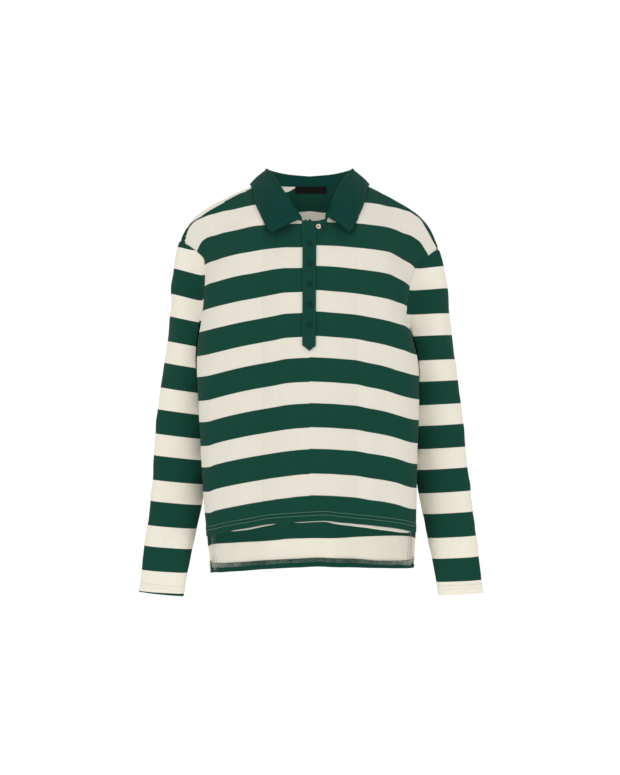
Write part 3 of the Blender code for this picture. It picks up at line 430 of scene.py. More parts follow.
# How far the back's hem hangs below its solid's level edge.
BACK_HEM_SHIFT = Table(
    "x       z",
    (
        (-0.172, -0.0020),
        (-0.161, -0.0039),
        (-0.147, -0.0063),
        (-0.117, -0.0065),
        (-0.080, -0.0041),
        (-0.020, -0.0019),
        (0.017, 0.0000),
        (0.058, -0.0014),
        (0.098, -0.0015),
        (0.135, -0.0009),
        (0.162, 0.0015),
        (0.172, 0.0050),
    ),
)
# How far the front's hem hangs off its solid's edge.
FRONT_HEM_SHIFT = Table(
    "x       z",
    (
        (-0.172, 0.0000),
        (-0.125, 0.0000),
        (-0.096, -0.0014),
        (-0.060, 0.0000),
        (0.020, 0.0000),
        (0.055, -0.0037),
        (0.074, -0.0038),
        (0.093, -0.0018),
        (0.112, 0.0000),
        (0.128, 0.0016),
        (0.141, 0.0032),
        (0.154, 0.0042),
        (0.172, 0.0045),
    ),
)
# Turned hems: heights of the lower edge, which the front's rolls down into sight, and the raw one.
FRONT_TURN = Table(
    "x       low     high",
    (
        (-0.180, 0.0006, 0.0150),
        (-0.132, 0.0006, 0.0150),
        (-0.120, -0.0018, 0.0150),
        (-0.092, -0.0026, 0.0150),
        (-0.062, -0.0018, 0.0150),
        (-0.050, 0.0004, 0.0150),
        (-0.030, 0.0004, 0.0150),
        (-0.018, -0.0013, 0.0150),
        (0.024, -0.0015, 0.0150),
        (0.040, -0.0032, 0.0150),
        (0.078, -0.0044, 0.0150),
        (0.112, -0.0054, 0.0150),
        (0.140, -0.0056, 0.0150),
        (0.156, -0.0040, 0.0150),
        (0.167, 0.0004, 0.0150),
        (0.180, 0.0006, 0.0150),
    ),
)
BACK_TURN = Table(
    "x       low     high",
    (
        (-0.180, 0.0006, 0.0150),
        (0.040, 0.0006, 0.0155),
        (0.085, 0.0006, 0.0148),
        (0.120, 0.0006, 0.0126),
        (0.180, 0.0006, 0.0122),
    ),
)
# Stripes of each sleeve by height at its outer edge, and how steeply they fall to the body.
SLEEVE_COURSES = {
    -1: Table(
        "z        course",
        (
            (-0.0200, -0.040),
            (-0.1000, 1.0),
            (-0.1357, 1.487),
            (-0.1759, 2.0),
            (-0.2141, 2.487),
            (-0.2541, 3.0),
            (-0.2910, 3.487),
            (-0.3310, 4.0),
            (-0.3684, 4.487),
            (-0.4079, 5.0),
            (-0.4450, 5.487),
            (-0.4847, 6.0),
            (-0.5208, 6.487),
            (-0.5600, 7.0),
            (-0.5951, 7.487),
            (-0.6341, 8.0),
            (-0.6699, 8.487),
            (-0.7100, 9.0),
        ),
    ),
    1: Table(
        "z        course",
        (
            (-0.0200, -0.480),
            (-0.0552, 0.0),
            (-0.0910, 0.487),
            (-0.1312, 1.0),
            (-0.1682, 1.487),
            (-0.2083, 2.0),
            (-0.2450, 2.487),
            (-0.2841, 3.0),
            (-0.3200, 3.487),
            (-0.3574, 4.0),
            (-0.3925, 4.487),
            (-0.4297, 5.0),
            (-0.4650, 5.487),
            (-0.5028, 6.0),
            (-0.5385, 6.487),
            (-0.5775, 7.0),
            (-0.6130, 7.487),
            (-0.6508, 8.0),
            (-0.6900, 8.487),
        ),
    ),
}
SLEEVE_SLOPE = Table(
    "z      left   right",
    (
        (-0.10, 0.300, 0.200),
        (-0.15, 0.290, 0.140),
        (-0.20, 0.250, 0.060),
        (-0.30, 0.170, 0.045),
        (-0.38, 0.130, 0.050),
        (-0.50, 0.090, 0.055),
        (-0.68, 0.060, 0.040),
    ),
)


# ------------------------------------------------------------------ small numeric helpers


def ease(u: Grid | float) -> Grid:
    """Runs from 0 to 1 with a level start and end."""
    u = np.clip(u, 0, 1)
    return u * u * (3 - 2 * u)


def unit(vectors: Grid) -> Grid:
    """The same directions, one long."""
    return vectors / (np.linalg.norm(vectors, axis=-1, keepdims=True) + 1e-12)


def grid_normals(grid: Grid, closed: bool = False) -> Grid:
    """Unit normals of a grid of points.

    Args:
        grid: Rows by columns of points.
        closed: Whether the last column runs on into the first.

    Returns:
        A normal for each point, all to one side of the cloth.
    """
    down = np.gradient(grid, axis=0)
    over = np.gradient(grid, axis=1)
    if closed:
        over = np.roll(grid, -1, axis=1) - np.roll(grid, 1, axis=1)
    return unit(np.cross(over, down))


def run_lengths(grid: Grid, axis: int) -> Grid:
    """How far each point lies from the start of its row or column, along the cloth."""
    steps = np.linalg.norm(np.diff(grid, axis=axis), axis=-1)
    start = np.zeros_like(np.take(steps, [0], axis=axis))
    return np.concatenate([start, np.cumsum(steps, axis=axis)], axis=axis)


def bell(distance: Grid, half_width: float) -> Grid:
    """1 at no distance, falling off smoothly over about half_width."""
    return np.exp(-((distance / half_width) ** 2))


def crumple(over: Grid, down: Grid, seed: int) -> Grid:
    """Soft random unevenness of hung cloth: slanted waves 25 to 90 mm long, from -1 to 1."""
    waves = np.random.default_rng(seed).uniform(0, 1, (9, 3))
    height = np.zeros(np.broadcast(over, down).shape)
    for turn, size, start in waves:
        way = over * math.cos(turn * math.pi) + down * math.sin(turn * math.pi)
        height = height + np.sin(2 * math.pi * (way / (0.025 + 0.065 * size) + start))
    return height / math.sqrt(2 * len(waves))


def refine(grid: Grid, times: int, axis: int) -> Grid:
    """A smooth curve through points, with more points between each two.

    Args:
        grid: Points along the axis.
        times: How many steps take the place of one.
        axis: The axis that the points run along.

    Returns:
        The finer grid, which still holds every point that it was given.
    """
    points = np.moveaxis(grid, axis, 0)
    before = np.concatenate([2 * points[:1] - points[1:2], points[:-1]])
    after = np.concatenate([points[1:], 2 * points[-1:] - points[-2:-1]])
    slope = (after - before) / 2
    finer = []
    for i in range(len(points) - 1):
        for k in range(times):
            u = k / times
            near = (1 + 2 * u) * (1 - u) ** 2 * points[i] + u * (1 - u) ** 2 * slope[i]
            far = u * u * (3 - 2 * u) * points[i + 1] + u * u * (u - 1) * slope[i + 1]
            finer.append(near + far)
    finer.append(points[-1])
    return np.moveaxis(np.array(finer), 0, axis)


def surface_tree(points: Grid, outwards: Grid) -> BVHTree:
    """A search tree over a grid of points, each face turned to the side that shows."""
    rows, columns = points.shape[:2]
    first = (np.arange(rows - 1)[:, None] * columns + np.arange(columns - 1)).ravel()
    below = first + columns
    faces = np.concatenate(
        [np.stack([first, first + 1, below + 1], 1), np.stack([first, below + 1, below], 1)]
    )
    flat = points.reshape(-1, 3)
    ways = outwards.reshape(-1, 3)[faces[:, 0]]
    turned = np.cross(flat[faces[:, 1]] - flat[faces[:, 0]], flat[faces[:, 2]] - flat[faces[:, 0]])
    wrong = np.sum(turned * ways, axis=1) < 0
    faces[wrong] = faces[wrong][:, ::-1]
    return BVHTree.FromPolygons([Vector(p) for p in flat], faces.tolist())


def keep_clear(grid: Grid, trees: list[BVHTree], clearance: Grid, first: int) -> Grid:
    """Moves the points of a sheet out until they stand clear of each surface below them.

    Args:
        grid: Rows by columns of points.
        trees: The surfaces that the sheet lies over.
        clearance: The height wanted on each row.
        first: The first row that may move.

    Returns:
        The grid with its low points moved out.
    """
    grid = grid.copy()
    for i in range(first, grid.shape[0]):
        for j in range(grid.shape[1]):
            point = Vector(grid[i, j])
            for tree in trees * 2:
                near, way_out, _, _ = tree.find_nearest(point, 0.05)
                if near is None:
                    continue
                offset = point - near
                height = offset.dot(way_out)
                if height < clearance[i] and (offset - way_out * height).length < 0.002:
                    point = point + way_out * (clearance[i] - height)
            grid[i, j] = point
    return grid


# ------------------------------------------------------------------ form of the body


def front_droop(x: Grid, level: Grid) -> Grid:
    """How far the front's stripe of this level falls below it at this place."""
    fall = np.zeros(np.broadcast(x, level).shape)
    for side in (-1, 1):
        table = FRONT_DROOP[side]
        falls = [table.read("x", name, np.abs(x)) for name in table.columns.split()[1:]]
        place = np.interp(level, DROOP_LEVELS, range(len(DROOP_LEVELS)))
        low = np.minimum(place.astype(int), len(DROOP_LEVELS) - 2)
        share = place - low
        here = np.choose(low, falls[:-1]) * (1 - share) + np.choose(low, falls[1:]) * share
        fall = np.where((x < 0) == (side < 0), here, fall)
    return fall


def back_course(x: Grid, z: Grid) -> Grid:
    """Which stripe of the back's cloth a place lies in."""
    reach = np.abs(x)
    top, body = BACK_DROOP.read("x", "top", reach), BACK_DROOP.read("x", "body", reach)
    foot = BACK_DROOP.sided("x", "foot", reach, x)
    inside_collar = ease((z + 0.016) / 0.012)
    top = top + (BACK_DROOP.read("x", "neck", reach) - top) * inside_collar
    droop = top + (body - top) * ease((-0.09 - z) / 0.27)
    droop = droop + 0.021 * bell(x + 0.054, 0.026) * ease((z + 0.010) / 0.008)
    droop = droop + (foot - droop) * ease((-0.44 - z) / 0.14)
    return BACK_COURSES.read("z", "course", z + droop)


def neck_round(across: Grid) -> Grid:
    """How far round the neck a place lies: 1 in the middle, 0 at the shoulder."""
    return np.sqrt(np.clip(1 - (across / NECK_SHARE) ** 2, 0, 1))


def edge_height(drop: Grid | float, across: Grid | float) -> Grid:
    """Height of a panel's edge: the shoulder's tip at drop 0, the side hem at drop 1."""
    tips = SHOULDER_SEAM.column("z_left")[-1], SHOULDER_SEAM.column("z_right")[-1]
    tip = np.where(np.asarray(across) < 0, *tips)
    return tip + drop * (SIDE_HEM_Z - tip)


def top_line(across: Grid, front: bool) -> tuple[Grid, Grid]:
    """Y and Z of a panel's top edge: the neckline in the middle, the shoulder seam outside."""
    share = np.abs(across)
    y = SHOULDER_SEAM.sided("across", "y", share, across)
    z = SHOULDER_SEAM.sided("across", "z", share, across)
    round_neck = neck_round(across)
    if front:
        neck_y = NECK_SIDE_Y - FRONT_NECK_REACH * round_neck
        level = np.clip(1 - (share / NECK_SHARE) ** FRONT_NECK_FLAT, 0, 1)
        neck_z = NECK_SIDE_Z - FRONT_NECK_DROP * level**FRONT_NECK_ROUND
    else:
        neck_y = NECK_SIDE_Y + BACK_NECK_REACH * round_neck
        neck_z = NECK_SIDE_Z - BACK_NECK_DROP * round_neck
    in_neck = share < NECK_SHARE
    return np.where(in_neck, neck_y, y), np.where(in_neck, neck_z, z)


def edge_read(name: str, drop: Grid, front: bool) -> Grid:
    """Reads the edge's table for the front, or for the back above the armpit."""
    below = FRONT_EDGE.read("drop", name, drop)
    if front:
        return below
    return np.where(drop < ARMPIT_DROP, BACK_EDGE.read("drop", name, drop), below)


def place_x(across: Grid, drop: Grid, front: bool) -> Grid:
    """X of a place across a panel: neck columns run straight down, the others draw in."""
    share = np.abs(across)
    sides = edge_read("x_left", drop, front), edge_read("x_right", drop, front)
    drawn = np.clip((share - NECK_SHARE) / (1 - NECK_SHARE), 0, 1) ** DRAW_POWER
    reach = np.where(across < 0, *sides) - SHOULDER_HALF_WIDTH
    return np.sign(across) * (share * SHOULDER_HALF_WIDTH + reach * drawn)


def section_depth(across: Grid, turn: Grid) -> Grid:
    """How far a section stands out between its edge (0) and its middle (1)."""
    full = (1 - np.clip(np.abs(across) * turn, 0, 1) ** SECTION_POWER) ** (1 / SECTION_POWER)
    last = (1 - np.clip(turn, 0, 1) ** SECTION_POWER) ** (1 / SECTION_POWER)
    return (full - last) / (1 - last)


def folds(rows: Table, x: Grid, z: Grid) -> Grid:
    """Height of a panel's folds at a place, faded out over their ends."""
    height = np.zeros(np.broadcast(x, z).shape)
    for x_top, x_foot, z_top, z_foot, half_width, rise in rows.rows:
        along = np.clip((z_top - z) / (z_top - z_foot), 0, 1)
        middle = x_top + (x_foot - x_top) * along
        fade = ease((z_top - z) / FOLD_FADE) * ease((z - z_foot) / FOLD_FADE)
        height = height + rise * bell(x - middle, half_width) * fade
    return height


def panel_point(across: Grid, drop: Grid, front: bool) -> Grid:
    """Points of the front or of the back, by their place across and their drop."""
    across, drop = np.broadcast_arrays(np.asarray(across, float), np.asarray(drop, float))
    top_y, top_z = top_line(across, front)
    x = place_x(across, drop, front)
    edge_y = edge_read("y", drop, front)
    middle_y = MIDDLE.read("drop", "front_y" if front else "back_y", drop)
    y = edge_y + (middle_y - edge_y) * section_depth(across, edge_read("turn", drop, front))
    power = (SHOULDER_ROUND_FRONT if front else SHOULDER_ROUND_BACK) * (1 - np.abs(across) ** 5)
    over = np.sin(np.clip(drop / ROUNDING_DROP, 0, 1) * math.pi / 2) ** power
    y = top_y + (y - top_y) * over
    level_off = ease(drop / LEVEL_DROP) * np.abs(across) ** LEVEL_POWER
    top_z = top_z - (top_z - edge_height(0.0, across)) * level_off
    if front:
        z = top_z + (FRONT_HEM.read("across", "z", across) - top_z) * drop
    else:
        level_z = BACK_LEVEL.read("across", "z", across)
        z = top_z + (level_z - top_z) * np.minimum(drop, 1)
        z = z + (BACK_HEM_Z - level_z) * np.clip((drop - 1) / (BACK_LAST_DROP - 1), 0, 1)
        ridge = SHOULDER_SEAM.sided("across", "ridge", np.abs(across), across) * (1 - level_off)
        rise = np.clip(drop / (2.2 * ROUNDING_DROP), 0, 1)
        z = z + ridge * 6.75 * rise * (1 - rise) ** 2
    outward = -1 if front else 1
    spread = ease((drop - VENT_DROP) / (1 - VENT_DROP)) * np.abs(across) ** 6
    y = y + outward * VENT_SPREAD * spread
    rows = FRONT_FOLDS if front else BACK_FOLDS
    y = y + outward * (1 - np.abs(across) ** 8) * folds(rows, x, z)
    return np.stack([x, y, z], axis=-1)


def body_half_width(side: int, y: Grid, z: Grid) -> Grid:
    """Half width of the body at this depth and height, below the armpit."""
    tip = float(edge_height(0.0, side))
    drop = np.clip((z - tip) / (SIDE_HEM_Z - tip), ARMPIT_DROP, BACK_LAST_DROP)
    edge_y = edge_read("y", drop, True)
    reach_front = edge_y - MIDDLE.read("drop", "front_y", drop)
    reach_back = MIDDLE.read("drop", "back_y", drop) - edge_y
    share = np.where(y < edge_y, (edge_y - y) / reach_front, (y - edge_y) / reach_back)
    inside = np.clip(1 - np.clip(share, 0, 1) ** SECTION_POWER, 0, 1) ** (1 / SECTION_POWER)
    return np.abs(place_x(side * inside, drop, True)) * (share < 1)


# ------------------------------------------------------------------ meshes


def new_mesh_object(name: str, points: Grid, faces: list, ways: dict[str, Grid]) -> bpy.types.Object:
    """Makes a mesh object with attributes on its points.

    Args:
        name: Name of the piece.
        points: One row a point.
        faces: Lists of point numbers.
        ways: Attribute values by name: one number a point, or two for a UV map.

    Returns:
        The object, linked to the scene and shaded smooth.
    """
    mesh = bpy.data.meshes.new(name)
    mesh.from_pydata([tuple(p) for p in points], [], faces)
    for title, values in ways.items():
        if values.ndim == 1:
            spot = mesh.attributes.new(title, "FLOAT", "POINT")
            spot.data.foreach_set("value", values.astype(np.float32))
        else:
            corners = np.zeros(len(mesh.loops), np.int32)
            mesh.loops.foreach_get("vertex_index", corners)
            layer = mesh.uv_layers.new(name=title)
            layer.data.foreach_set("uv", values[corners].astype(np.float32).ravel())
    mesh.shade_smooth()
    mesh.validate()
    piece = bpy.data.objects.new(name, mesh)
    bpy.context.scene.collection.objects.link(piece)
    return piece


@dataclass
class ClothGrid:
    """A cloth as two grids of points, with its place on the knitted piece it was cut from.

    Attributes:
        outer: The side that shows.
        inner: The side behind it.
        course: Which stripe each point lies in.
        way: Distance across and along the cloth, in metres.
        closed: Whether its last column runs on into its first.
        holes: True for each face that is left out.
    """

    outer: Grid
    inner: Grid
    course: Grid
    way: Grid
    closed: bool = False
    holes: Grid | None = None

    def build(self, name: str) -> bpy.types.Object:
        """Makes the closed shell of this cloth, as one object with its attributes."""
        rows, columns = self.outer.shape[:2]
        count = rows * columns
        faces = []
        edges: dict[tuple[int, int], int] = {}
        for i in range(rows - 1):
            for j in range(columns if self.closed else columns - 1):
                if self.holes is not None and self.holes[i, j]:
                    continue
                k = (j + 1) % columns
                quad = [i * columns + j, i * columns + k, (i + 1) * columns + k, (i + 1) * columns + j]
                faces.append(quad)
                for start, end in zip(quad, quad[1:] + quad[:1]):
                    if (end, start) in edges:
                        del edges[(end, start)]
                    else:
                        edges[(start, end)] = 1
        back = [[count + v for v in reversed(quad)] for quad in faces]
        rim = [[end, start, count + start, count + end] for start, end in edges]
        points = np.concatenate([self.outer.reshape(-1, 3), self.inner.reshape(-1, 3)])
        course = np.tile(self.course.reshape(-1), 2)
        way = np.tile(self.way.reshape(-1, 2), (2, 1))
        piece = new_mesh_object(name, points, faces + back + rim, {"course": course, "cloth": way})
        shape = bmesh.new()
        shape.from_mesh(piece.data)
        loose = [v for v in shape.verts if not v.link_faces]
        bmesh.ops.delete(shape, geom=loose, context="VERTS")
        bmesh.ops.recalc_face_normals(shape, faces=shape.faces)
        for edge in shape.edges:
            edge.smooth = len(edge.link_faces) != 2 or edge.calc_face_angle(0.0) < 0.9
        shape.to_mesh(piece.data)
        shape.free()
        return piece


# ------------------------------------------------------------------ finishes


def linear(code: str) -> tuple[float, float, float, float]:
    """Turns an sRGB hex colour such as "#1B463A" to Blender's linear colour."""
    parts = [int(code[i : i + 2], 16) / 255 for i in (1, 3, 5)]
    flat = [p / 12.92 if p <= 0.04045 else ((p + 0.055) / 1.055) ** 2.4 for p in parts]
    return (flat[0], flat[1], flat[2], 1.0)


def add_node(
    tree: bpy.types.NodeTree, kind: str, inputs: dict | None = None, links: dict | None = None, **settings
) -> bpy.types.Node:
    """Adds a node to a tree.

    Args:
        tree: The node tree.
        kind: The node's type name.
        inputs: Values by socket name or number.
        links: Sockets of other nodes, by the name or number of the input they go to.
        **settings: Properties of the node itself.

    Returns:
        The new node.
    """
    node = tree.nodes.new(kind)
    for name, value in settings.items():
        setattr(node, name, value)
    for key, value in (inputs or {}).items():
        node.inputs[key].default_value = value
    for key, socket in (links or {}).items():
        tree.links.new(socket, node.inputs[key])
    return node


def new_material(name: str) -> tuple[bpy.types.Material, bpy.types.Node]:
    """A new node material.

    Args:
        name: What it is made of.

    Returns:
        The material and its Principled shader.
    """
    material = bpy.data.materials.new(name)
    material.use_nodes = True
    return material, material.node_tree.nodes["Principled BSDF"]


def math_node(tree: bpy.types.NodeTree, operation: str, *values: float | bpy.types.NodeSocket):
    """One step of arithmetic in a tree, as its output socket."""
    numbers = {i: v for i, v in enumerate(values) if not isinstance(v, bpy.types.NodeSocket)}
    links = {i: v for i, v in enumerate(values) if isinstance(v, bpy.types.NodeSocket)}
    return add_node(tree, "ShaderNodeMath", numbers, links, operation=operation).outputs[0]


class Knit(Enum):
    """How a cloth was knitted."""

    JERSEY = "jersey"
    RIB = "rib"


@dataclass(frozen=True)
class ClothFinish:
    """Knitted cotton: matt, a little fuzzy, with the furrows of its stitches.

    Attributes:
        name: What the cloth is.
        cream: Colour of the light yarn, or of the whole cloth if it isn't striped.
        green: Colour of the dark yarn, or None.
        knit: How it was knitted.
        wale: Width of a column of stitches in metres. The real one is about 0.8 mm, which is
            half a pixel, so it is drawn coarser.
        relief: Depth of the furrows in metres.
    """

    name: str
    cream: str
    green: str | None
    knit: Knit = Knit.JERSEY
    wale: float = 0.0024
    relief: float = 0.00035
    roughness: float = 0.88
    sheen: float = 0.02

    def make(self) -> bpy.types.Material:
        """Builds the material: stripes by course, stitches by the cloth's own UV map."""
        material, shader = new_material(self.name)
        tree = material.node_tree
        way = add_node(tree, "ShaderNodeUVMap", uv_map="cloth").outputs["UV"]
        split = add_node(tree, "ShaderNodeSeparateXYZ", links={0: way})
        wales = math_node(tree, "DIVIDE", split.outputs[0], self.wale)
        rows = math_node(tree, "DIVIDE", split.outputs[1], self.wale * 0.8)
        lean = math_node(tree, "PINGPONG", wales, 0.5)
        if self.knit is Knit.JERSEY:
            slanted = math_node(tree, "MULTIPLY_ADD", lean, 1.2, rows)
            loops = math_node(tree, "SINE", math_node(tree, "MULTIPLY", slanted, 2 * math.pi))
            furrow = math_node(tree, "POWER", math_node(tree, "MULTIPLY", lean, 2.0), 0.5)
            height = math_node(tree, "MULTIPLY_ADD", loops, 0.25, furrow)
        else:
            ribs = math_node(tree, "SINE", math_node(tree, "MULTIPLY", wales, 2 * math.pi))
            loops = math_node(tree, "SINE", math_node(tree, "MULTIPLY", rows, 2 * math.pi))
            height = math_node(tree, "MULTIPLY_ADD", loops, 0.15, ribs)
        fuzz = add_node(
            tree, "ShaderNodeTexNoise", {"Scale": 900.0, "Detail": 3.0, "Roughness": 0.6},
            {"Vector": way},
        ).outputs[0]
        height = math_node(tree, "MULTIPLY_ADD", fuzz, 0.6, height)
        bump = add_node(
            tree, "ShaderNodeBump", {"Strength": 0.55, "Distance": self.relief}, {"Height": height}
        )
        tree.links.new(bump.outputs[0], shader.inputs["Normal"])
        colour = self.colour(tree)
        patches = add_node(
            tree, "ShaderNodeTexNoise", {"Scale": 60.0, "Detail": 2.0}, {"Vector": way}
        ).outputs[0]
        shade = math_node(tree, "MULTIPLY_ADD", patches, 0.07, 0.965)
        # The colour drops by a few percent where the stitches' relief is low: painted shade in the furrows, laid over
        # the yarn's random patches.
        yarn = math_node(tree, "MULTIPLY_ADD", height, 0.03, shade)
        toned = add_node(
            tree, "ShaderNodeMix", {0: 1.0}, {6: colour, 7: yarn},
            data_type="RGBA", blend_type="MULTIPLY", clamp_result=True,
        )
        tree.links.new(toned.outputs[2], shader.inputs["Base Color"])
        shader.inputs["Roughness"].default_value = self.roughness
        shader.inputs["Specular IOR Level"].default_value = 0.05
        shader.inputs["Sheen Weight"].default_value = self.sheen
        shader.inputs["Sheen Roughness"].default_value = 0.45
        return material

    def colour(self, tree: bpy.types.NodeTree) -> bpy.types.NodeSocket:
        """The cloth's own colour: striped by course, with a clean step from yarn to yarn."""
        if self.green is None:
            return self.plain(tree)
        course = add_node(tree, "ShaderNodeAttribute", attribute_name="course").outputs["Fac"]
        phase = math_node(tree, "FRACT", course)
        ramp = add_node(tree, "ShaderNodeValToRGB", links={0: phase})
        stops = ramp.color_ramp.elements
        stops[0].position, stops[0].color = 0.0, linear(self.cream)
        stops[1].position, stops[1].color = 1.0, linear(self.cream)
        for place, code in (
            (CREAM_SHARE - 0.003, self.cream),
            (CREAM_SHARE + 0.003, self.green),
            (0.994, self.green),
        ):
            stop = stops.new(place)
            stop.color = linear(code)
        return ramp.outputs[0]

    def plain(self, tree: bpy.types.NodeTree) -> bpy.types.NodeSocket:
        """One colour, a little mottled as dyed yarn is."""
        way = add_node(tree, "ShaderNodeUVMap", uv_map="cloth").outputs["UV"]
        mottle = add_node(
            tree, "ShaderNodeTexNoise", {"Scale": 350.0, "Detail": 2.0}, {"Vector": way}
        ).outputs[0]
        ramp = add_node(tree, "ShaderNodeValToRGB", links={0: mottle})
        dark = tuple(0.88 * c for c in linear(self.cream)[:3]) + (1.0,)
        ramp.color_ramp.elements[0].color = dark
        ramp.color_ramp.elements[1].color = linear(self.cream)
        ramp.color_ramp.elements[0].position = 0.3
        ramp.color_ramp.elements[1].position = 0.7
        return ramp.outputs[0]


@dataclass(frozen=True)
class ThreadFinish:
    """Spun polyester sewing thread: a soft gloss along each stitch."""

    name: str
    colour: str
    roughness: float = 0.55
    grain: float = 1800.0
    shade: float = 0.8

    def make(self) -> bpy.types.Material:
        """Builds the material, with the ply of the thread, or coarser speckles, as its grain."""
        material, shader = new_material(self.name)
        tree = material.node_tree
        place = add_node(tree, "ShaderNodeTexCoord").outputs["Object"]
        ply = add_node(
            tree, "ShaderNodeTexNoise", {"Scale": self.grain, "Detail": 1.0}, {"Vector": place}
        ).outputs[0]
        ramp = add_node(tree, "ShaderNodeValToRGB", links={0: ply})
        dark = tuple(self.shade * c for c in linear(self.colour)[:3]) + (1.0,)
        ramp.color_ramp.elements[0].position, ramp.color_ramp.elements[1].position = 0.35, 0.65
        ramp.color_ramp.elements[0].color = dark
        ramp.color_ramp.elements[1].color = linear(self.colour)
        tree.links.new(ramp.outputs[0], shader.inputs["Base Color"])
        bump = add_node(tree, "ShaderNodeBump", {"Strength": 0.3, "Distance": 0.0001}, {"Height": ply})
        tree.links.new(bump.outputs[0], shader.inputs["Normal"])
        shader.inputs["Roughness"].default_value = self.roughness
        return material


@dataclass(frozen=True)
class ButtonFinish:
    """Shirt button: pearl shell with drifting bands, or dyed polyester resin."""

    name: str
    light: str
    dark: str
    roughness: float
    coat: float
    shine: float = 0.5

    def make(self) -> bpy.types.Material:
        """Builds the material: a noise of bands about 2 mm wide under a clear gloss."""
        material, shader = new_material(self.name)
        tree = material.node_tree
        place = add_node(tree, "ShaderNodeTexCoord").outputs["Object"]
        drift = add_node(
            tree, "ShaderNodeTexNoise", {"Scale": 420.0, "Detail": 3.0, "Distortion": 1.5},
            {"Vector": place},
        ).outputs[0]
        ramp = add_node(tree, "ShaderNodeValToRGB", links={0: drift})
        ramp.color_ramp.elements[0].position, ramp.color_ramp.elements[1].position = 0.3, 0.7
        ramp.color_ramp.elements[0].color = linear(self.dark)
        ramp.color_ramp.elements[1].color = linear(self.light)
        tree.links.new(ramp.outputs[0], shader.inputs["Base Color"])
        shader.inputs["Roughness"].default_value = self.roughness
        shader.inputs["Coat Weight"].default_value = self.coat
        shader.inputs["Coat Roughness"].default_value = 0.12
        shader.inputs["Specular IOR Level"].default_value = self.shine
        return material


@dataclass(frozen=True)
class WovenFinish:
    """Woven satin label: fine warp threads that give a dull gloss."""

    name: str
    colour: str
    thread: float = 0.0006

    def make(self) -> bpy.types.Material:
        """Builds the material, with warp threads drawn along the label."""
        material, shader = new_material(self.name)
        tree = material.node_tree
        way = add_node(tree, "ShaderNodeUVMap", uv_map="cloth").outputs["UV"]
        split = add_node(tree, "ShaderNodeSeparateXYZ", links={0: way})
        warp = math_node(tree, "SINE", math_node(tree, "MULTIPLY", split.outputs[1], 2 * math.pi / self.thread))
        weft = math_node(tree, "SINE", math_node(tree, "MULTIPLY", split.outputs[0], math.pi / self.thread))
        weave = math_node(tree, "MULTIPLY_ADD", weft, 0.4, warp)
        # The weave's low places are painted down to 60% of the colour: painted shade between the threads.
        ramp = add_node(tree, "ShaderNodeValToRGB", links={0: math_node(tree, "MULTIPLY_ADD", weave, 0.3, 0.5)})
        dark = tuple(0.6 * c for c in linear(self.colour)[:3]) + (1.0,)
        ramp.color_ramp.elements[0].color = dark
        ramp.color_ramp.elements[1].color = linear(self.colour)
        tree.links.new(ramp.outputs[0], shader.inputs["Base Color"])
        bump = add_node(tree, "ShaderNodeBump", {"Strength": 0.4, "Distance": 0.0001}, {"Height": weave})
        tree.links.new(bump.outputs[0], shader.inputs["Normal"])
        shader.inputs["Roughness"].default_value = 0.7
        shader.inputs["Specular IOR Level"].default_value = 0.12
        return material


# Cotton single jersey, yarn-dyed in two colours: matt, with a soft bloom at grazing light.
# On the front the cloth is painted a little darker, as painted shade.
SHADED_BODY_JERSEY = ClothFinish("striped_cotton_jersey", "#C8C4B8", "#113A2F")
# The sleeves and the back get the same cloth painted paler, as painted light.
LIT_SLEEVE_JERSEY = ClothFinish("painted_light_striped_cotton_jersey", "#D3CEC0", "#113A2F")
# Cotton single jersey in the dark yarn alone, on the placket and on turned edges.
GREEN_JERSEY = ClothFinish("green_cotton_jersey", "#103A31", None)
CREAM_JERSEY = ClothFinish("cream_cotton_jersey", "#C6C2B6", None)
# Flat-knitted cotton rib of the collar: ribs 2.4 mm apart run from its seam to its edge.
GREEN_RIB = ClothFinish("green_cotton_rib", "#09372F", None, Knit.RIB, 0.0024, 0.00045)
# Mother-of-pearl imitation: pale, glossy, brown where the shell is thin.
PEARL = ButtonFinish("pearl_polyester_resin", "#D9CBBB", "#8F7461", 0.25, 0.4)
# The same resin dyed to the cloth.
GREEN_RESIN = ButtonFinish("green_polyester_resin", "#0E3129", "#0B2820", 0.7, 0.0, 0.1)
BROWN_HOLE = ThreadFinish("brown_sewing_thread", "#4A3426")
GREEN_THREAD = ThreadFinish("green_sewing_thread", "#1E463A")
HEM_THREAD = ThreadFinish("pale_green_sewing_thread", "#73917F")
PALE_THREAD = ThreadFinish("cream_sewing_thread", "#DCD6C4")
DARK_THREAD = ThreadFinish("dark_green_sewing_thread", "#06150F")
OVERLOCK_THREAD = ThreadFinish("grey_green_overlock_thread", "#ADBAAD", 0.7, 260.0, 0.5)
BLACK_SATIN = WovenFinish("black_woven_satin", "#050506")


def dress(piece: bpy.types.Object, material: bpy.types.Material, slot: str, *nodes: str) -> None:
    """Gives a finished piece its material, and puts it on the shirt's body.

    Args:
        piece: The piece.
        material: Its only material.
        slot: The record's material slot; not used.
        *nodes: The solids that it stands for.
    """
    piece.data.materials.clear()
    piece.data.materials.append(material)
    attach(piece, BODY)
    if nodes:
        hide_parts(*nodes)
    LOG.info("%s: %d faces", piece.name, len(piece.data.polygons))


# ------------------------------------------------------------------ sewing, by Geometry Nodes


def geometry_tree(name: str, sizes: dict[str, float]) -> tuple[bpy.types.NodeTree, bpy.types.Node, bpy.types.Node]:
    """A new Geometry Nodes tree with named inputs.

    Args:
        name: Name of the tree.
        sizes: Default value of each size input, in metres.

    Returns:
        The tree, its input node and its output node.
    """
    tree = bpy.data.node_groups.new(name, "GeometryNodeTree")
    tree.interface.new_socket("Geometry", in_out="INPUT", socket_type="NodeSocketGeometry")
    for title, value in sizes.items():
        socket = tree.interface.new_socket(title, in_out="INPUT", socket_type="NodeSocketFloat")
        socket.default_value = value
    tree.interface.new_socket("Material", in_out="INPUT", socket_type="NodeSocketMaterial")
    tree.interface.new_socket("Geometry", in_out="OUTPUT", socket_type="NodeSocketGeometry")
    return tree, add_node(tree, "NodeGroupInput"), add_node(tree, "NodeGroupOutput")


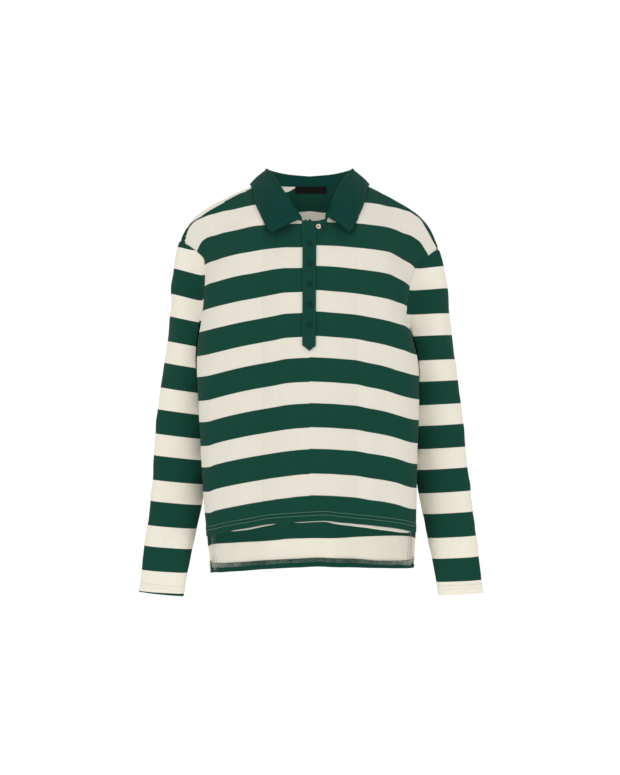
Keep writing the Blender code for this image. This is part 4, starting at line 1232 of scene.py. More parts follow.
@dataclass(frozen=True)
class StitchRow:
    """Rows of lockstitch along paths: short threads with a gap between them."""

    pitch: float = 0.0030
    length: float = 0.0023
    thread: float = 0.0007

    def tree(self) -> bpy.types.NodeTree:
        """Builds the tree: one rounded thread at each step of each path."""
        sizes = {"Pitch": self.pitch, "Length": self.length, "Thread": self.thread}
        tree, given, out = geometry_tree("stitch_row", sizes)
        curve = add_node(tree, "GeometryNodeMeshToCurve", links={"Mesh": given.outputs["Geometry"]})
        even = add_node(
            tree, "GeometryNodeResampleCurve",
            links={"Curve": curve.outputs[0], "Length": given.outputs["Pitch"]}, mode="LENGTH",
        )
        bead = add_node(tree, "GeometryNodeMeshUVSphere", {"Segments": 6, "Rings": 4, "Radius": 0.5})
        tangent = add_node(tree, "GeometryNodeInputTangent")
        turn = add_node(
            tree, "FunctionNodeAlignRotationToVector", links={"Vector": tangent.outputs[0]}, axis="Z"
        )
        size = add_node(
            tree, "ShaderNodeCombineXYZ",
            links={0: given.outputs["Thread"], 1: given.outputs["Thread"], 2: given.outputs["Length"]},
        )
        placed = add_node(
            tree, "GeometryNodeInstanceOnPoints",
            links={
                "Points": even.outputs[0],
                "Instance": bead.outputs[0],
                "Rotation": turn.outputs[0],
                "Scale": size.outputs[0],
            },
        )
        real = add_node(tree, "GeometryNodeRealizeInstances", links={0: placed.outputs[0]})
        smooth = add_node(tree, "GeometryNodeSetShadeSmooth", links={0: real.outputs[0]})
        dyed = add_node(
            tree, "GeometryNodeSetMaterial",
            links={"Geometry": smooth.outputs[0], "Material": given.outputs["Material"]},
        )
        tree.links.new(dyed.outputs[0], out.inputs[0])
        return tree


@dataclass(frozen=True)
class OverlockRow:
    """An overlocked edge: one thread that zigzags over a raw edge along a path."""

    pitch: float = 0.0010
    width: float = 0.0074
    thread: float = 0.0011

    def tree(self) -> bpy.types.NodeTree:
        """Builds the tree: every other point of the path steps aside, then gets a thread."""
        sizes = {"Pitch": self.pitch, "Width": self.width, "Thread": self.thread}
        tree, given, out = geometry_tree("overlock_row", sizes)
        curve = add_node(tree, "GeometryNodeMeshToCurve", links={"Mesh": given.outputs["Geometry"]})
        even = add_node(
            tree, "GeometryNodeResampleCurve",
            links={"Curve": curve.outputs[0], "Length": given.outputs["Pitch"]}, mode="LENGTH",
        )
        aside = add_node(tree, "GeometryNodeInputNamedAttribute", {"Name": "aside"}, data_type="FLOAT_VECTOR")
        number = add_node(tree, "GeometryNodeInputIndex")
        odd = math_node(tree, "FLOORED_MODULO", number.outputs[0], 2.0)
        sign = math_node(tree, "SUBTRACT", odd, 0.5)
        reach = math_node(tree, "MULTIPLY", sign, given.outputs["Width"])
        step = add_node(
            tree, "ShaderNodeVectorMath", links={0: aside.outputs[0], "Scale": reach}, operation="SCALE"
        )
        moved = add_node(
            tree, "GeometryNodeSetPosition",
            links={"Geometry": even.outputs[0], "Offset": step.outputs[0]},
        )
        half = math_node(tree, "MULTIPLY", given.outputs["Thread"], 0.5)
        profile = add_node(
            tree, "GeometryNodeCurvePrimitiveCircle", {"Resolution": 5}, {"Radius": half}
        )
        tube = add_node(
            tree, "GeometryNodeCurveToMesh",
            links={"Curve": moved.outputs[0], "Profile Curve": profile.outputs[0]},
        )
        real = add_node(tree, "GeometryNodeRealizeInstances", links={0: tube.outputs[0]})
        smooth = add_node(tree, "GeometryNodeSetShadeSmooth", links={0: real.outputs[0]})
        dyed = add_node(
            tree, "GeometryNodeSetMaterial",
            links={"Geometry": smooth.outputs[0], "Material": given.outputs["Material"]},
        )
        tree.links.new(dyed.outputs[0], out.inputs[0])
        return tree


def sew(
    name: str, paths: list[Grid], row: StitchRow | OverlockRow, material: bpy.types.Material,
    slot: str, aside: list[Grid] | None = None,
) -> bpy.types.Object:
    """Runs thread along paths and makes it a plain mesh piece.

    Args:
        name: Name of the piece.
        paths: Points along each row.
        row: What is sewn along them.
        material: The thread.
        slot: The record's material slot; not used.
        aside: For an overlocked edge, the way across it at each point of each path.

    Returns:
        The finished piece.
    """
    points = np.concatenate(paths)
    starts = np.cumsum([0] + [len(p) for p in paths])
    edges = [(i, i + 1) for a, b in zip(starts, starts[1:]) for i in range(a, b - 1)]
    mesh = bpy.data.meshes.new(name + "_path")
    mesh.from_pydata([tuple(p) for p in points], edges, [])
    if aside is not None:
        spot = mesh.attributes.new("aside", "FLOAT_VECTOR", "POINT")
        spot.data.foreach_set("vector", np.concatenate(aside).astype(np.float32).ravel())
    carrier = bpy.data.objects.new(name + "_path", mesh)
    bpy.context.scene.collection.objects.link(carrier)
    modifier = carrier.modifiers.new("sewing", "NODES")
    modifier.node_group = row.tree()
    for item in modifier.node_group.interface.items_tree:
        if item.in_out == "INPUT" and item.name == "Material":
            modifier[item.identifier] = material
        elif item.in_out == "INPUT" and item.name != "Geometry":
            modifier[item.identifier] = getattr(row, item.name.lower())
    graph = bpy.context.evaluated_depsgraph_get()
    result = bpy.data.meshes.new_from_object(carrier.evaluated_get(graph), depsgraph=graph)
    bpy.data.objects.remove(carrier)
    for spare in list(result.attributes):
        if spare.name == "aside":
            result.attributes.remove(spare)
    piece = bpy.data.objects.new(name, result)
    bpy.context.scene.collection.objects.link(piece)
    dress(piece, material, slot)
    return piece


# ------------------------------------------------------------------ front and back


@dataclass
class BodyPanel:
    """The front or the back of the body.

    Attributes:
        front: Whether this is the front.
        neck_steps: Columns in each half of the neckline.
        side_steps: Columns from the neck to each side.
        row_times: Rows for each row of the armhole.
        body_rows: Rows from the armpit to the front hem.
        seam_depth: How far the cloth dips at a seam.
        hem_depth: Height of the turned hem.
        hem_rows: Heights of the twin-needle rows over the edge.
    """

    front: bool
    neck_steps: int = 20
    side_steps: int = 60
    row_times: int = 5
    body_rows: int = 84
    seam_depth: float = 0.0008
    seam_reach: float = 0.0028
    hem_depth: float = 0.0155
    hem_rows: tuple[float, float] = (0.0096, 0.0152)
    slit_half_width: float = 0.0006
    slit_end_z: float = -0.236
    corner_reach: float = 0.032
    corner_rise: float = 0.012
    crumple_depth: float = 0.0007
    thread_lift: float = 0.0006
    points: Grid = field(init=False)
    outwards: Grid = field(init=False)
    across: Grid = field(init=False)
    drops: Grid = field(init=False)
    armpit: int = field(init=False)

    def __post_init__(self) -> None:
        """Lays out the grid and its way out of the cloth."""
        turns = np.linspace(0, math.pi / 2, self.neck_steps + 1)[1:]
        neck = NECK_SHARE * np.sin(turns)
        steps = np.arange(1, self.side_steps + 1) / self.side_steps
        side = 1 - (1 - NECK_SHARE) * (1 - steps) ** SECTION_POWER
        half = np.concatenate([neck, side])
        middle = self.slit_half_width / SHOULDER_HALF_WIDTH
        centre = [-middle, middle] if self.front else [0.0]
        self.across = np.concatenate([-half[::-1], centre, half])
        armhole = armhole_drops(self.row_times)
        self.armpit = len(armhole) - 1
        body = ARMPIT_DROP + (1 - ARMPIT_DROP) * np.arange(1, self.body_rows + 1) / self.body_rows
        tail = [] if self.front else np.linspace(1, BACK_LAST_DROP, 17)[1:]
        self.drops = np.concatenate([armhole, body, tail])
        place, fall = np.meshgrid(self.across, self.drops)
        self.points = panel_point(place, fall, self.front)
        if self.front:
            first = len(self.across) // 2 - 1
            self.points[:, first, 0] = -self.slit_half_width
            self.points[:, first + 1, 0] = self.slit_half_width
        self.shape_hem()
        self.outwards = grid_normals(self.points) * (-1 if self.front else 1)

    def shape_hem(self) -> None:
        """Lets the hem hang unevenly, and rounds the back's two lower corners."""
        x = self.points[..., 0]
        if self.front:
            tail = ease((self.drops - VENT_DROP) / (1 - VENT_DROP))[:, None]
            self.points[..., 2] += tail * FRONT_HEM_SHIFT.read("x", "z", x)
            return
        tail = ease((self.drops - 1) / (BACK_LAST_DROP - 1))[:, None]
        over = run_lengths(self.points, 1)[-1]
        left = np.clip(self.corner_reach - np.minimum(over, over[-1] - over), 0, None)
        lift = self.corner_rise * (1 - np.sqrt(1 - (left / self.corner_reach) ** 2))
        self.points[..., 2] += tail * (BACK_HEM_SHIFT.read("x", "z", x) + lift)

    def course(self) -> Grid:
        """Which stripe each point of the panel lies in."""
        x, z = self.points[..., 0], self.points[..., 2]
        back = back_course(x, z)
        if not self.front:
            return back
        level = z
        for _ in range(4):
            level = z + front_droop(x, level)
        rolled = z > ROLLED_SEAM.sided("x", "z", np.abs(x), x)
        return np.where(rolled & (self.shoulder_side()), back, FRONT_COURSES.read("z", "course", level))

    def shoulder_side(self) -> Grid:
        """True outside the neckline's columns."""
        return np.broadcast_to(np.abs(self.across) > NECK_SHARE, self.points.shape[:2])

    def way(self) -> Grid:
        """Distance across and down the cloth at each point."""
        over = run_lengths(self.points, 1)
        over = over - over[:, [over.shape[1] // 2]]
        return np.stack([over, run_lengths(self.points, 0)], axis=-1)

    def hem_height(self) -> Grid:
        """How far each point lies above the panel's lower edge."""
        down = run_lengths(self.points, 0)
        return down[-1:] - down

    def relief(self) -> Grid:
        """How far the made-up cloth stands out from its plain form, at each point."""
        over = run_lengths(self.points, 1)
        side = np.minimum(over, over[:, -1:] - over)
        armhole = 1 + 1.2 * (self.drops < ARMPIT_DROP)[:, None]
        sewn = (self.drops < VENT_DROP)[:, None]
        height = -self.seam_depth * armhole * bell(side, self.seam_reach) * sewn
        outside = (np.abs(self.across) > NECK_SHARE)[None]
        height = height - self.seam_depth * bell(run_lengths(self.points, 0), self.seam_reach) * outside
        hem = self.hem_height()
        doubled = ease((self.hem_depth - hem) / 0.002) * 0.0005
        needles = sum(bell(hem - row, 0.0011) for row in self.hem_rows)
        height = height + doubled - 0.0005 * needles
        pucker = np.sin(self.way()[..., 0] / 0.0105 + 2.1 * np.sin(self.way()[..., 0] / 0.047))
        height = height + 0.00022 * pucker * bell(hem - 0.010, 0.012)
        away = ease(side / 0.020) * ease(run_lengths(self.points, 0) / 0.020)
        away = away * ease((hem - self.hem_depth) / 0.025)
        off_placket = ease((np.abs(self.points[..., 0]) - 0.014) / 0.02) if self.front else 1.0
        uneven = crumple(self.points[..., 0], self.points[..., 2], 3 if self.front else 4)
        return height + self.crumple_depth * uneven * away * off_placket

    def cloth(self) -> ClothGrid:
        """The finished cloth, with its seams, hem and soft unevenness."""
        outer = self.points + self.outwards * self.relief()[..., None]
        holes = None
        if self.front:
            holes = np.zeros((outer.shape[0] - 1, outer.shape[1] - 1), bool)
            middle = outer.shape[1] // 2 - 1
            holes[:, middle] = outer[1:, middle, 2] > self.slit_end_z
        return ClothGrid(outer, outer - self.outwards * WALL, self.course(), self.way(), holes=holes)

    def hem_paths(self) -> list[Grid]:
        """Paths of the twin-needle rows above the hem, just over the cloth."""
        hem = self.hem_height()
        paths = []
        for height in self.hem_rows:
            path = []
            for column in range(2, self.points.shape[1] - 2):
                rise = hem[::-1, column]
                row = [np.interp(height, rise, self.points[::-1, column, k]) for k in range(3)]
                way = [np.interp(height, rise, self.outwards[::-1, column, k]) for k in range(3)]
                path.append(np.array(row) + np.array(way) * self.thread_lift)
            paths.append(np.array(path))
        return paths

    def vent_paths(self, inset: float) -> list[Grid]:
        """Paths down both edges of the tail, below the vents' tops, on the panel's inner side.

        Args:
            inset: How far each path lies inside its edge, as seen from the front.

        Returns:
            One path a side.
        """
        x = self.points[..., 0]
        lift = WALL + self.thread_lift + 0.0013 * (self.hem_height() < self.hem_depth + 0.001)
        inner = self.points - self.outwards * lift[..., None]
        rows = np.flatnonzero(self.drops > VENT_DROP + 0.02)[:-1]
        paths = []
        for columns in (slice(None), slice(None, None, -1)):
            reach = np.abs(x[:, columns] - x[:, columns][:, :1])[:, : self.side_steps]
            edge = inner[:, columns][:, : self.side_steps]
            paths.append(np.array([[np.interp(inset, reach[i], edge[i, :, k]) for k in range(3)] for i in rows]))
        return paths

    def tree(self) -> BVHTree:
        """A search tree over the side that shows."""
        return surface_tree(self.points, self.outwards)


def armhole_drops(times: int) -> Grid:
    """The armhole's drops, with more rows between each two."""
    known = np.arange(len(ARMHOLE_DROPS), dtype=float)
    rows = tuple((float(i), drop) for i, drop in enumerate(ARMHOLE_DROPS))
    steps = np.linspace(0, known[-1], (len(known) - 1) * times + 1)
    return Table("i drop", rows).read("i", "drop", steps)


def share_seams(front: BodyPanel, back: BodyPanel) -> None:
    """Gives the two panels one slant at the shoulder and side seams."""
    last = front.points.shape[0]
    outer = front.side_steps + 1
    for columns in (slice(0, outer), slice(-outer, None)):
        both = unit(front.outwards[0, columns] + back.outwards[0, columns])
        front.outwards[0, columns] = both
        back.outwards[0, columns] = both
    for column in (0, -1):
        rows = slice(front.armpit, last)
        both = unit(front.outwards[rows, column] + back.outwards[rows, column])
        front.outwards[rows, column] = both
        back.outwards[rows, column] = both


# ------------------------------------------------------------------ sleeves


@dataclass
class Sleeve:
    """One sleeve, from its armhole to its open cuff.

    Attributes:
        side: -1 for the one at -X, 1 for the one at +X.
        ring_times: Rings for each ring of the solid.
        cuff_rows: Heights of the cuff's twin-needle rows over its edge.
    """

    side: int
    front: BodyPanel
    back: BodyPanel
    ring_times: int = 8
    solid_rings: int = 10
    cuff_depth: float = 0.0155
    cuff_rows: tuple[float, float] = (0.0100, 0.0155)
    seam_depth: float = 0.0019
    crumple_depth: float = 0.0005
    fold_share: float = 0.8
    thread_lift: float = 0.0005
    points: Grid = field(init=False)
    outwards: Grid = field(init=False)

    def __post_init__(self) -> None:
        """Lays out the rings and their way out of the cloth."""
        seam, outwards, onward = self.armhole()
        count = len(seam)
        head = len(SLEEVE_HEAD) - 1
        ring_numbers = np.linspace(0, head + self.solid_rings - 1, (head + self.solid_rings - 1) * self.ring_times + 1)
        top, foot = SLEEVE.column("z")[0], SLEEVE.column("z")[-1]
        first = self.ring(top, count)
        down = (self.ring(top - 0.004, count) - first) / 0.004
        crown = (0.5 + 0.5 * np.cos(2 * math.pi * np.arange(count) / count))[:, None]
        under = 1 - crown
        leave = onward * (0.012 + 0.085 * crown + 0.022 * under) + outwards * 0.050 * under**2
        arrive = down * (0.030 + 0.110 * crown)
        rings = []
        for number in ring_numbers:
            if number < head:
                u = float(np.interp(number, np.arange(head + 1), SLEEVE_HEAD))
                near = (1 + 2 * u) * (1 - u) ** 2 * seam + u * (1 - u) ** 2 * leave
                far = u * u * (3 - 2 * u) * first + u * u * (u - 1) * arrive
                rings.append(near + far)
            else:
                z = top + (foot - top) * (number - head) / (self.solid_rings - 1)
                rings.append(self.ring(z, count))
        grid = np.array(rings)
        whole = ease((ring_numbers - 1) / 4)[:, None, None]
        grid = grid + (self.slack(grid) - grid) * whole
        grid = self.off_body(grid)
        clearance = BODY_CLEARANCE * ease(ring_numbers / 4)
        trees = [self.front.tree(), self.back.tree()]
        self.points = keep_clear(grid, trees, clearance, 1)
        self.outwards = grid_normals(self.points, closed=True)
        from_arm = self.points - self.points.mean(axis=1, keepdims=True)
        if np.sum(self.outwards * from_arm) < 0:
            self.outwards = -self.outwards
        self.outwards[0] = outwards

    def armhole(self) -> tuple[Grid, Grid, Grid]:
        """The armhole, from the shoulder's tip down the front and up the back.

        Returns:
            Its points, the way out of the cloth there, and the way the cloth runs on.
        """
        column, beside = (0, 1) if self.side < 0 else (-1, -2)
        armpit = self.front.armpit

        def around(of_front: Grid, of_back: Grid, place: int) -> Grid:
            """Joins the front's edge going down and the back's going up."""
            return np.concatenate([of_front[: armpit + 1, place], of_back[armpit - 1 : 0 : -1, place]])

        points = around(self.front.points, self.back.points, column)
        within = around(self.front.points, self.back.points, beside)
        outwards = around(self.front.outwards, self.back.outwards, column)
        ahead = unit(np.roll(points, -1, axis=0) - np.roll(points, 1, axis=0))
        onward = unit(np.cross(ahead, outwards))
        if np.sum(onward * (points - within)) < 0:
            onward = -onward
        for _ in range(3 * self.front.row_times**2):
            onward = unit(onward + 0.5 * (np.roll(onward, 1, 0) + np.roll(onward, -1, 0)))
        return points, outwards, onward

    def ring(self, z: float, count: int) -> Grid:
        """An oval section of the sleeve round its middle at this height, outer edge first."""
        outer = float(SLEEVE.read("z", "outer_left" if self.side < 0 else "outer_right", z))
        half_width = float(SLEEVE.read("z", "half_width", z))
        angle = 2 * math.pi * np.arange(count) / count
        out = half_width * np.cos(angle)
        ring = np.empty((count, 3))
        ring[:, 0] = self.side * (outer - half_width + out)
        ring[:, 1] = float(SLEEVE.read("z", "y", z)) - float(SLEEVE.read("z", "half_depth", z)) * np.sin(angle)
        ring[:, 2] = z + CUFF_TILT[self.side] * out
        return ring

    def slack(self, grid: Grid) -> Grid:
        """Adds the soft slack of the sleeve, and faint folds along it."""
        angle = np.arange(grid.shape[1]) / grid.shape[1]
        away = grid - grid.mean(axis=1, keepdims=True)
        away[..., 2] = 0
        away = unit(away)
        level = grid[..., 2]
        for z, phase, half_width, height in SLEEVE_FOLDS.rows:
            turn = 2 * math.pi * (angle - phase * self.side)
            part = 0.5 + 0.5 * np.cos(turn)
            middle = z + 0.008 * np.sin(turn)
            rise = self.fold_share * height * bell(level - middle, half_width) * part
            grid = grid + away * rise[..., None]
        along = np.sin(2 * math.pi * (5 * angle + 1.3 * level / 0.5)) * ease((-0.12 - level) / 0.1)
        return grid + away * (0.0007 * along)[..., None]

    def off_body(self, grid: Grid) -> Grid:
        """Moves the sleeve's points sideways until they lie clear of the body."""
        armpit = float(edge_height(ARMPIT_DROP, self.side))
        below = np.clip((armpit + 0.004 - grid[..., 2]) / 0.020, 0, 1)
        room = body_half_width(self.side, grid[..., 1], grid[..., 2]) + BODY_CLEARANCE
        grid[..., 0] += self.side * np.maximum(room - self.side * grid[..., 0], 0) * ease(below)
        return grid

    def course(self) -> Grid:
        """Which stripe each point lies in: stripes fall from the outer edge to the body."""
        x, z = np.abs(self.points[..., 0]), self.points[..., 2]
        outer = x.max(axis=1, keepdims=True)
        level = z + SLEEVE_SLOPE.read("z", "left" if self.side < 0 else "right", z) * (outer - x)
        return SLEEVE_COURSES[self.side].read("z", "course", level)

    def way(self) -> Grid:
        """Distance round and down the cloth at each point."""
        return np.stack([run_lengths(self.points, 1), run_lengths(self.points, 0)], axis=-1)

    def cuff_height(self) -> Grid:
        """How far each point lies above the cuff's edge."""
        down = run_lengths(self.points, 0)
        return down[-1:] - down

    def cloth(self) -> ClothGrid:
        """The finished cloth, with its seam at the armhole and its hemmed cuff."""
        down = run_lengths(self.points, 0)
        height = -self.seam_depth * bell(down, 0.0030)
        cuff = self.cuff_height()
        height = height + 0.0005 * ease((self.cuff_depth - cuff) / 0.002)
        height = height - 0.0005 * sum(bell(cuff - row, 0.0011) for row in self.cuff_rows)
        under = np.abs(np.arange(self.points.shape[1]) - self.points.shape[1] / 2) * 0.0016
        height = height - 0.0005 * bell(under, 0.0020)[None]
        uneven = crumple(self.points[..., 0] * 1.0, self.points[..., 2] * 1.4, 5 + self.side)
        uneven = uneven * ease(down / 0.030) * ease((cuff - self.cuff_depth) / 0.025)
        height = height + self.crumple_depth * uneven
        outer = self.points + self.outwards * height[..., None]
        return ClothGrid(outer, outer - self.outwards * WALL, self.course(), self.way(), closed=True)

    def cuff_paths(self) -> list[Grid]:
        """Paths of the twin-needle rows round the cuff."""
        cuff = self.cuff_height()
        paths = []
        for height in self.cuff_rows:
            path = []
            for column in range(self.points.shape[1]):
                rise = cuff[::-1, column]
                row = [np.interp(height, rise, self.points[::-1, column, k]) for k in range(3)]
                way = [np.interp(height, rise, self.outwards[::-1, column, k]) for k in range(3)]
                path.append(np.array(row) + np.array(way) * self.thread_lift)
            paths.append(np.array(path + path[:1]))
        return paths


# ------------------------------------------------------------------ collar


@dataclass
class Collar:
    """The rib collar: a stand round the neck and a leaf turned over it.

    Attributes:
        step: Degrees between sections.
        fold_half_width: Half the thickness of the fold.
        leaf_first: The first point of a section that lies on the leaf.
        stitch_inset: How far the edge stitching lies inside the leaf's edge.
    """

    front: BodyPanel
    back: BodyPanel
    under: list[BVHTree]
    step: float = 2.5
    fold_half_width: float = 0.0030
    end_fold_share: float = 0.58
    end_reach: float = 0.30
    leaf_lift: float = 0.0018
    leaf_bulge: float = 0.0016
    leaf_first: int = 7
    section_times: int = 3
    stitch_inset: float = 0.0042
    points: Grid = field(init=False)
    outwards: Grid = field(init=False)

    def __post_init__(self) -> None:
        """Lays out the sections from one front end round the back to the other."""
        left, right = self.half(-1), self.half(1)
        grid = np.array(left + right[-2::-1])
        grid = refine(grid, self.section_times, 1)
        first = self.leaf_first * self.section_times
        across = grid.transpose(1, 0, 2)
        clearance = np.full(len(across), WALL + self.leaf_lift)
        trees = [self.front.tree(), self.back.tree(), *self.under]
        across = keep_clear(across, trees, clearance, first)
        for _ in range(3):
            middle = across[first:, 1:-1]
            across[first:, 1:-1] = middle + (across[first:, :-2] + across[first:, 2:] - 2 * middle) / 4
        self.points = across.transpose(1, 0, 2)
        self.outwards = grid_normals(self.points)
        if np.sum(self.outwards[:, first:, :2] * self.points[:, first:, :2]) < 0:
            self.outwards = -self.outwards

    def neck_edge(self, side: int) -> tuple[Grid, Grid, Grid]:
        """The neckline from the middle of the front round one side to the middle of the back.

        Returns:
            Its turns in degrees, the points of its inner edge, and the way up its cloth.
        """
        turns, outer, ways = [], [], []
        count = self.front.neck_steps + 1
        for panel in (self.front, self.back):
            middle = panel.points.shape[1] // 2
            for k in range(count):
                column = middle + k * side
                if panel.front and side < 0:
                    column -= 1
                turn = 90 * k / (count - 1)
                turns.append(turn if panel.front else 180 - turn)
                outer.append(panel.points[0, column])
                ways.append(panel.outwards[0, column])
        order = np.argsort(np.array(turns), kind="stable")
        turns = np.array(turns, float)[order]
        turns[np.isclose(turns, 90)] = (89.999, 90.001)
        outer, ways = np.array(outer)[order], np.array(ways)[order]
        along = np.gradient(outer, axis=0)
        shoulder = (turns > 89) & (turns < 91)
        along[shoulder] = outer[turns > 91][0] - outer[turns < 89][-1]
        up = unit(np.cross(along, ways))
        to_neck = np.array([0.0, NECK_CENTRE_Y, 0.02]) - outer * (1, 1, 0)
        up *= np.where(np.sum(up * to_neck, axis=1) < 0, -1, 1)[:, None]
        return turns, outer - ways * WALL, up

    def half(self, side: int) -> list[Grid]:
        """Sections of the collar on one side, from its front end to the middle of the back."""
        neck = self.neck_edge(side)
        end_x = COLLAR.column("fold_x")[0] + COLLAR_END_SHIFT[side][0]
        first = math.degrees(math.asin(end_x / NECK_HALF_WIDTH))
        count = round((180 - first) / self.step)
        turns = first + (180 - first) * np.arange(count + 1) / count
        return [self.section((turn - first) / (180 - first), turn, side, neck) for turn in turns]

    def section(self, way: float, turn: float, side: int, neck: tuple[Grid, Grid, Grid]) -> Grid:
        """One section: from the neck seam up the stand, over the fold and down the leaf.

        Args:
            way: 0 at the front end, 1 in the middle of the back.
            turn: Degrees round the neck.
            side: -1 or 1.
            neck: What neck_edge gives.

        Returns:
            The points of the section on the side that shows.
        """
        turns, inner_edge, up = neck

        def read(values: Grid, at: float) -> Grid:
            """Reads a row of points at any turn round the neck."""
            return np.array([np.interp(at, turns, values[:, k]) for k in range(3)])

        foot = read(inner_edge, turn) + unit(read(up, turn)) * 0.0003
        along = read(inner_edge, min(turn + 4, 180.0)) - read(inner_edge, max(turn - 4, 0.0))
        inward = unit(np.array([along[1], -along[0], 0.0]))
        if np.dot(inward[:2], foot[:2] - np.array([0.0, NECK_CENTRE_Y])) > 0:
            inward = -inward
        fold = np.array([float(COLLAR.read("way", "fold_" + k, way)) for k in "xyz"])
        edge = np.array([float(COLLAR.read("way", "edge_" + k, way)) for k in "xyz"])
        shift = np.array(COLLAR_END_SHIFT[side]) * (1 - ease(way / self.end_reach))
        fold = (fold + shift) * (side, 1, 1)
        edge = (edge + shift * (0.25, 0, 0.25)) * (side, 1, 1)
        share = self.end_fold_share + (1 - self.end_fold_share) * float(ease(way / 0.2))
        width = self.fold_half_width * share
        lowered = np.array([0, 0, width])
        inner = fold + inward * width - lowered
        outer = fold - inward * width - lowered
        points = [foot, (foot + inner) / 2, inner]
        for turn_over in (45, 90, 135):
            angle = math.radians(turn_over)
            points.append(fold + inward * width * math.cos(angle) + lowered * (math.sin(angle) - 1))
        points.append(outer)
        out = -inward * 0.8 + np.array([0, 0, 0.6])
        for down in (0.22, 0.45, 0.70, 0.92, 1.0):
            points.append(outer + (edge - outer) * down + out * self.leaf_bulge * 4 * down * (1 - down))
        return np.array(points)

    def cloth(self) -> ClothGrid:
        """The finished collar, with a dip along its edge stitching."""
        rim = self.rim_distance()
        first = self.leaf_first * self.section_times
        leaf = (np.arange(self.points.shape[1]) > first)[None]
        height = -0.0003 * bell(rim - self.stitch_inset, 0.0010) * leaf
        outer = self.points + self.outwards * height[..., None]
        along = run_lengths(self.points, 0)
        way = np.stack([along[:, [first]] + 0 * along, run_lengths(self.points, 1)], axis=-1)
        course = np.zeros(outer.shape[:2])
        return ClothGrid(outer, outer - self.outwards * WALL, course, way)

    def rim_distance(self) -> Grid:
        """How far each point of the leaf lies from the leaf's outer edge or its ends."""
        down = run_lengths(self.points, 1)
        along = run_lengths(self.points, 0)
        ends = np.minimum(along, along[-1:] - along)
        return np.minimum(down[:, -1:] - down, ends)

    def edge_path(self) -> Grid:
        """Path of the edge stitching: up one end, round the leaf and up the other end."""
        lifted = self.points + self.outwards * 0.0002
        down = run_lengths(self.points, 1)
        along = run_lengths(self.points, 0)
        first = self.leaf_first * self.section_times
        last = [i for i in range(len(down)) if self.stitch_inset < along[i, -1] < along[-1, -1] - self.stitch_inset]

        def on_section(i: int, from_edge: float) -> Grid:
            """The point of a section at this distance from the leaf's edge."""
            rise = (down[i, -1] - down[i])[::-1]
            return np.array([np.interp(from_edge, rise, lifted[i, ::-1, k]) for k in range(3)])

        around = [on_section(i, self.stitch_inset) for i in last]

        def up_end(i: int) -> list[Grid]:
            """The run from the edge up to the fold, at one end of the collar."""
            high = down[i, -1] - down[i, first]
            return [on_section(i, rise) for rise in np.linspace(self.stitch_inset, high, 12)]

        start, end = up_end(last[0]), up_end(last[-1])
        return np.array(start[:0:-1] + around + end[1:])


# ------------------------------------------------------------------ placket


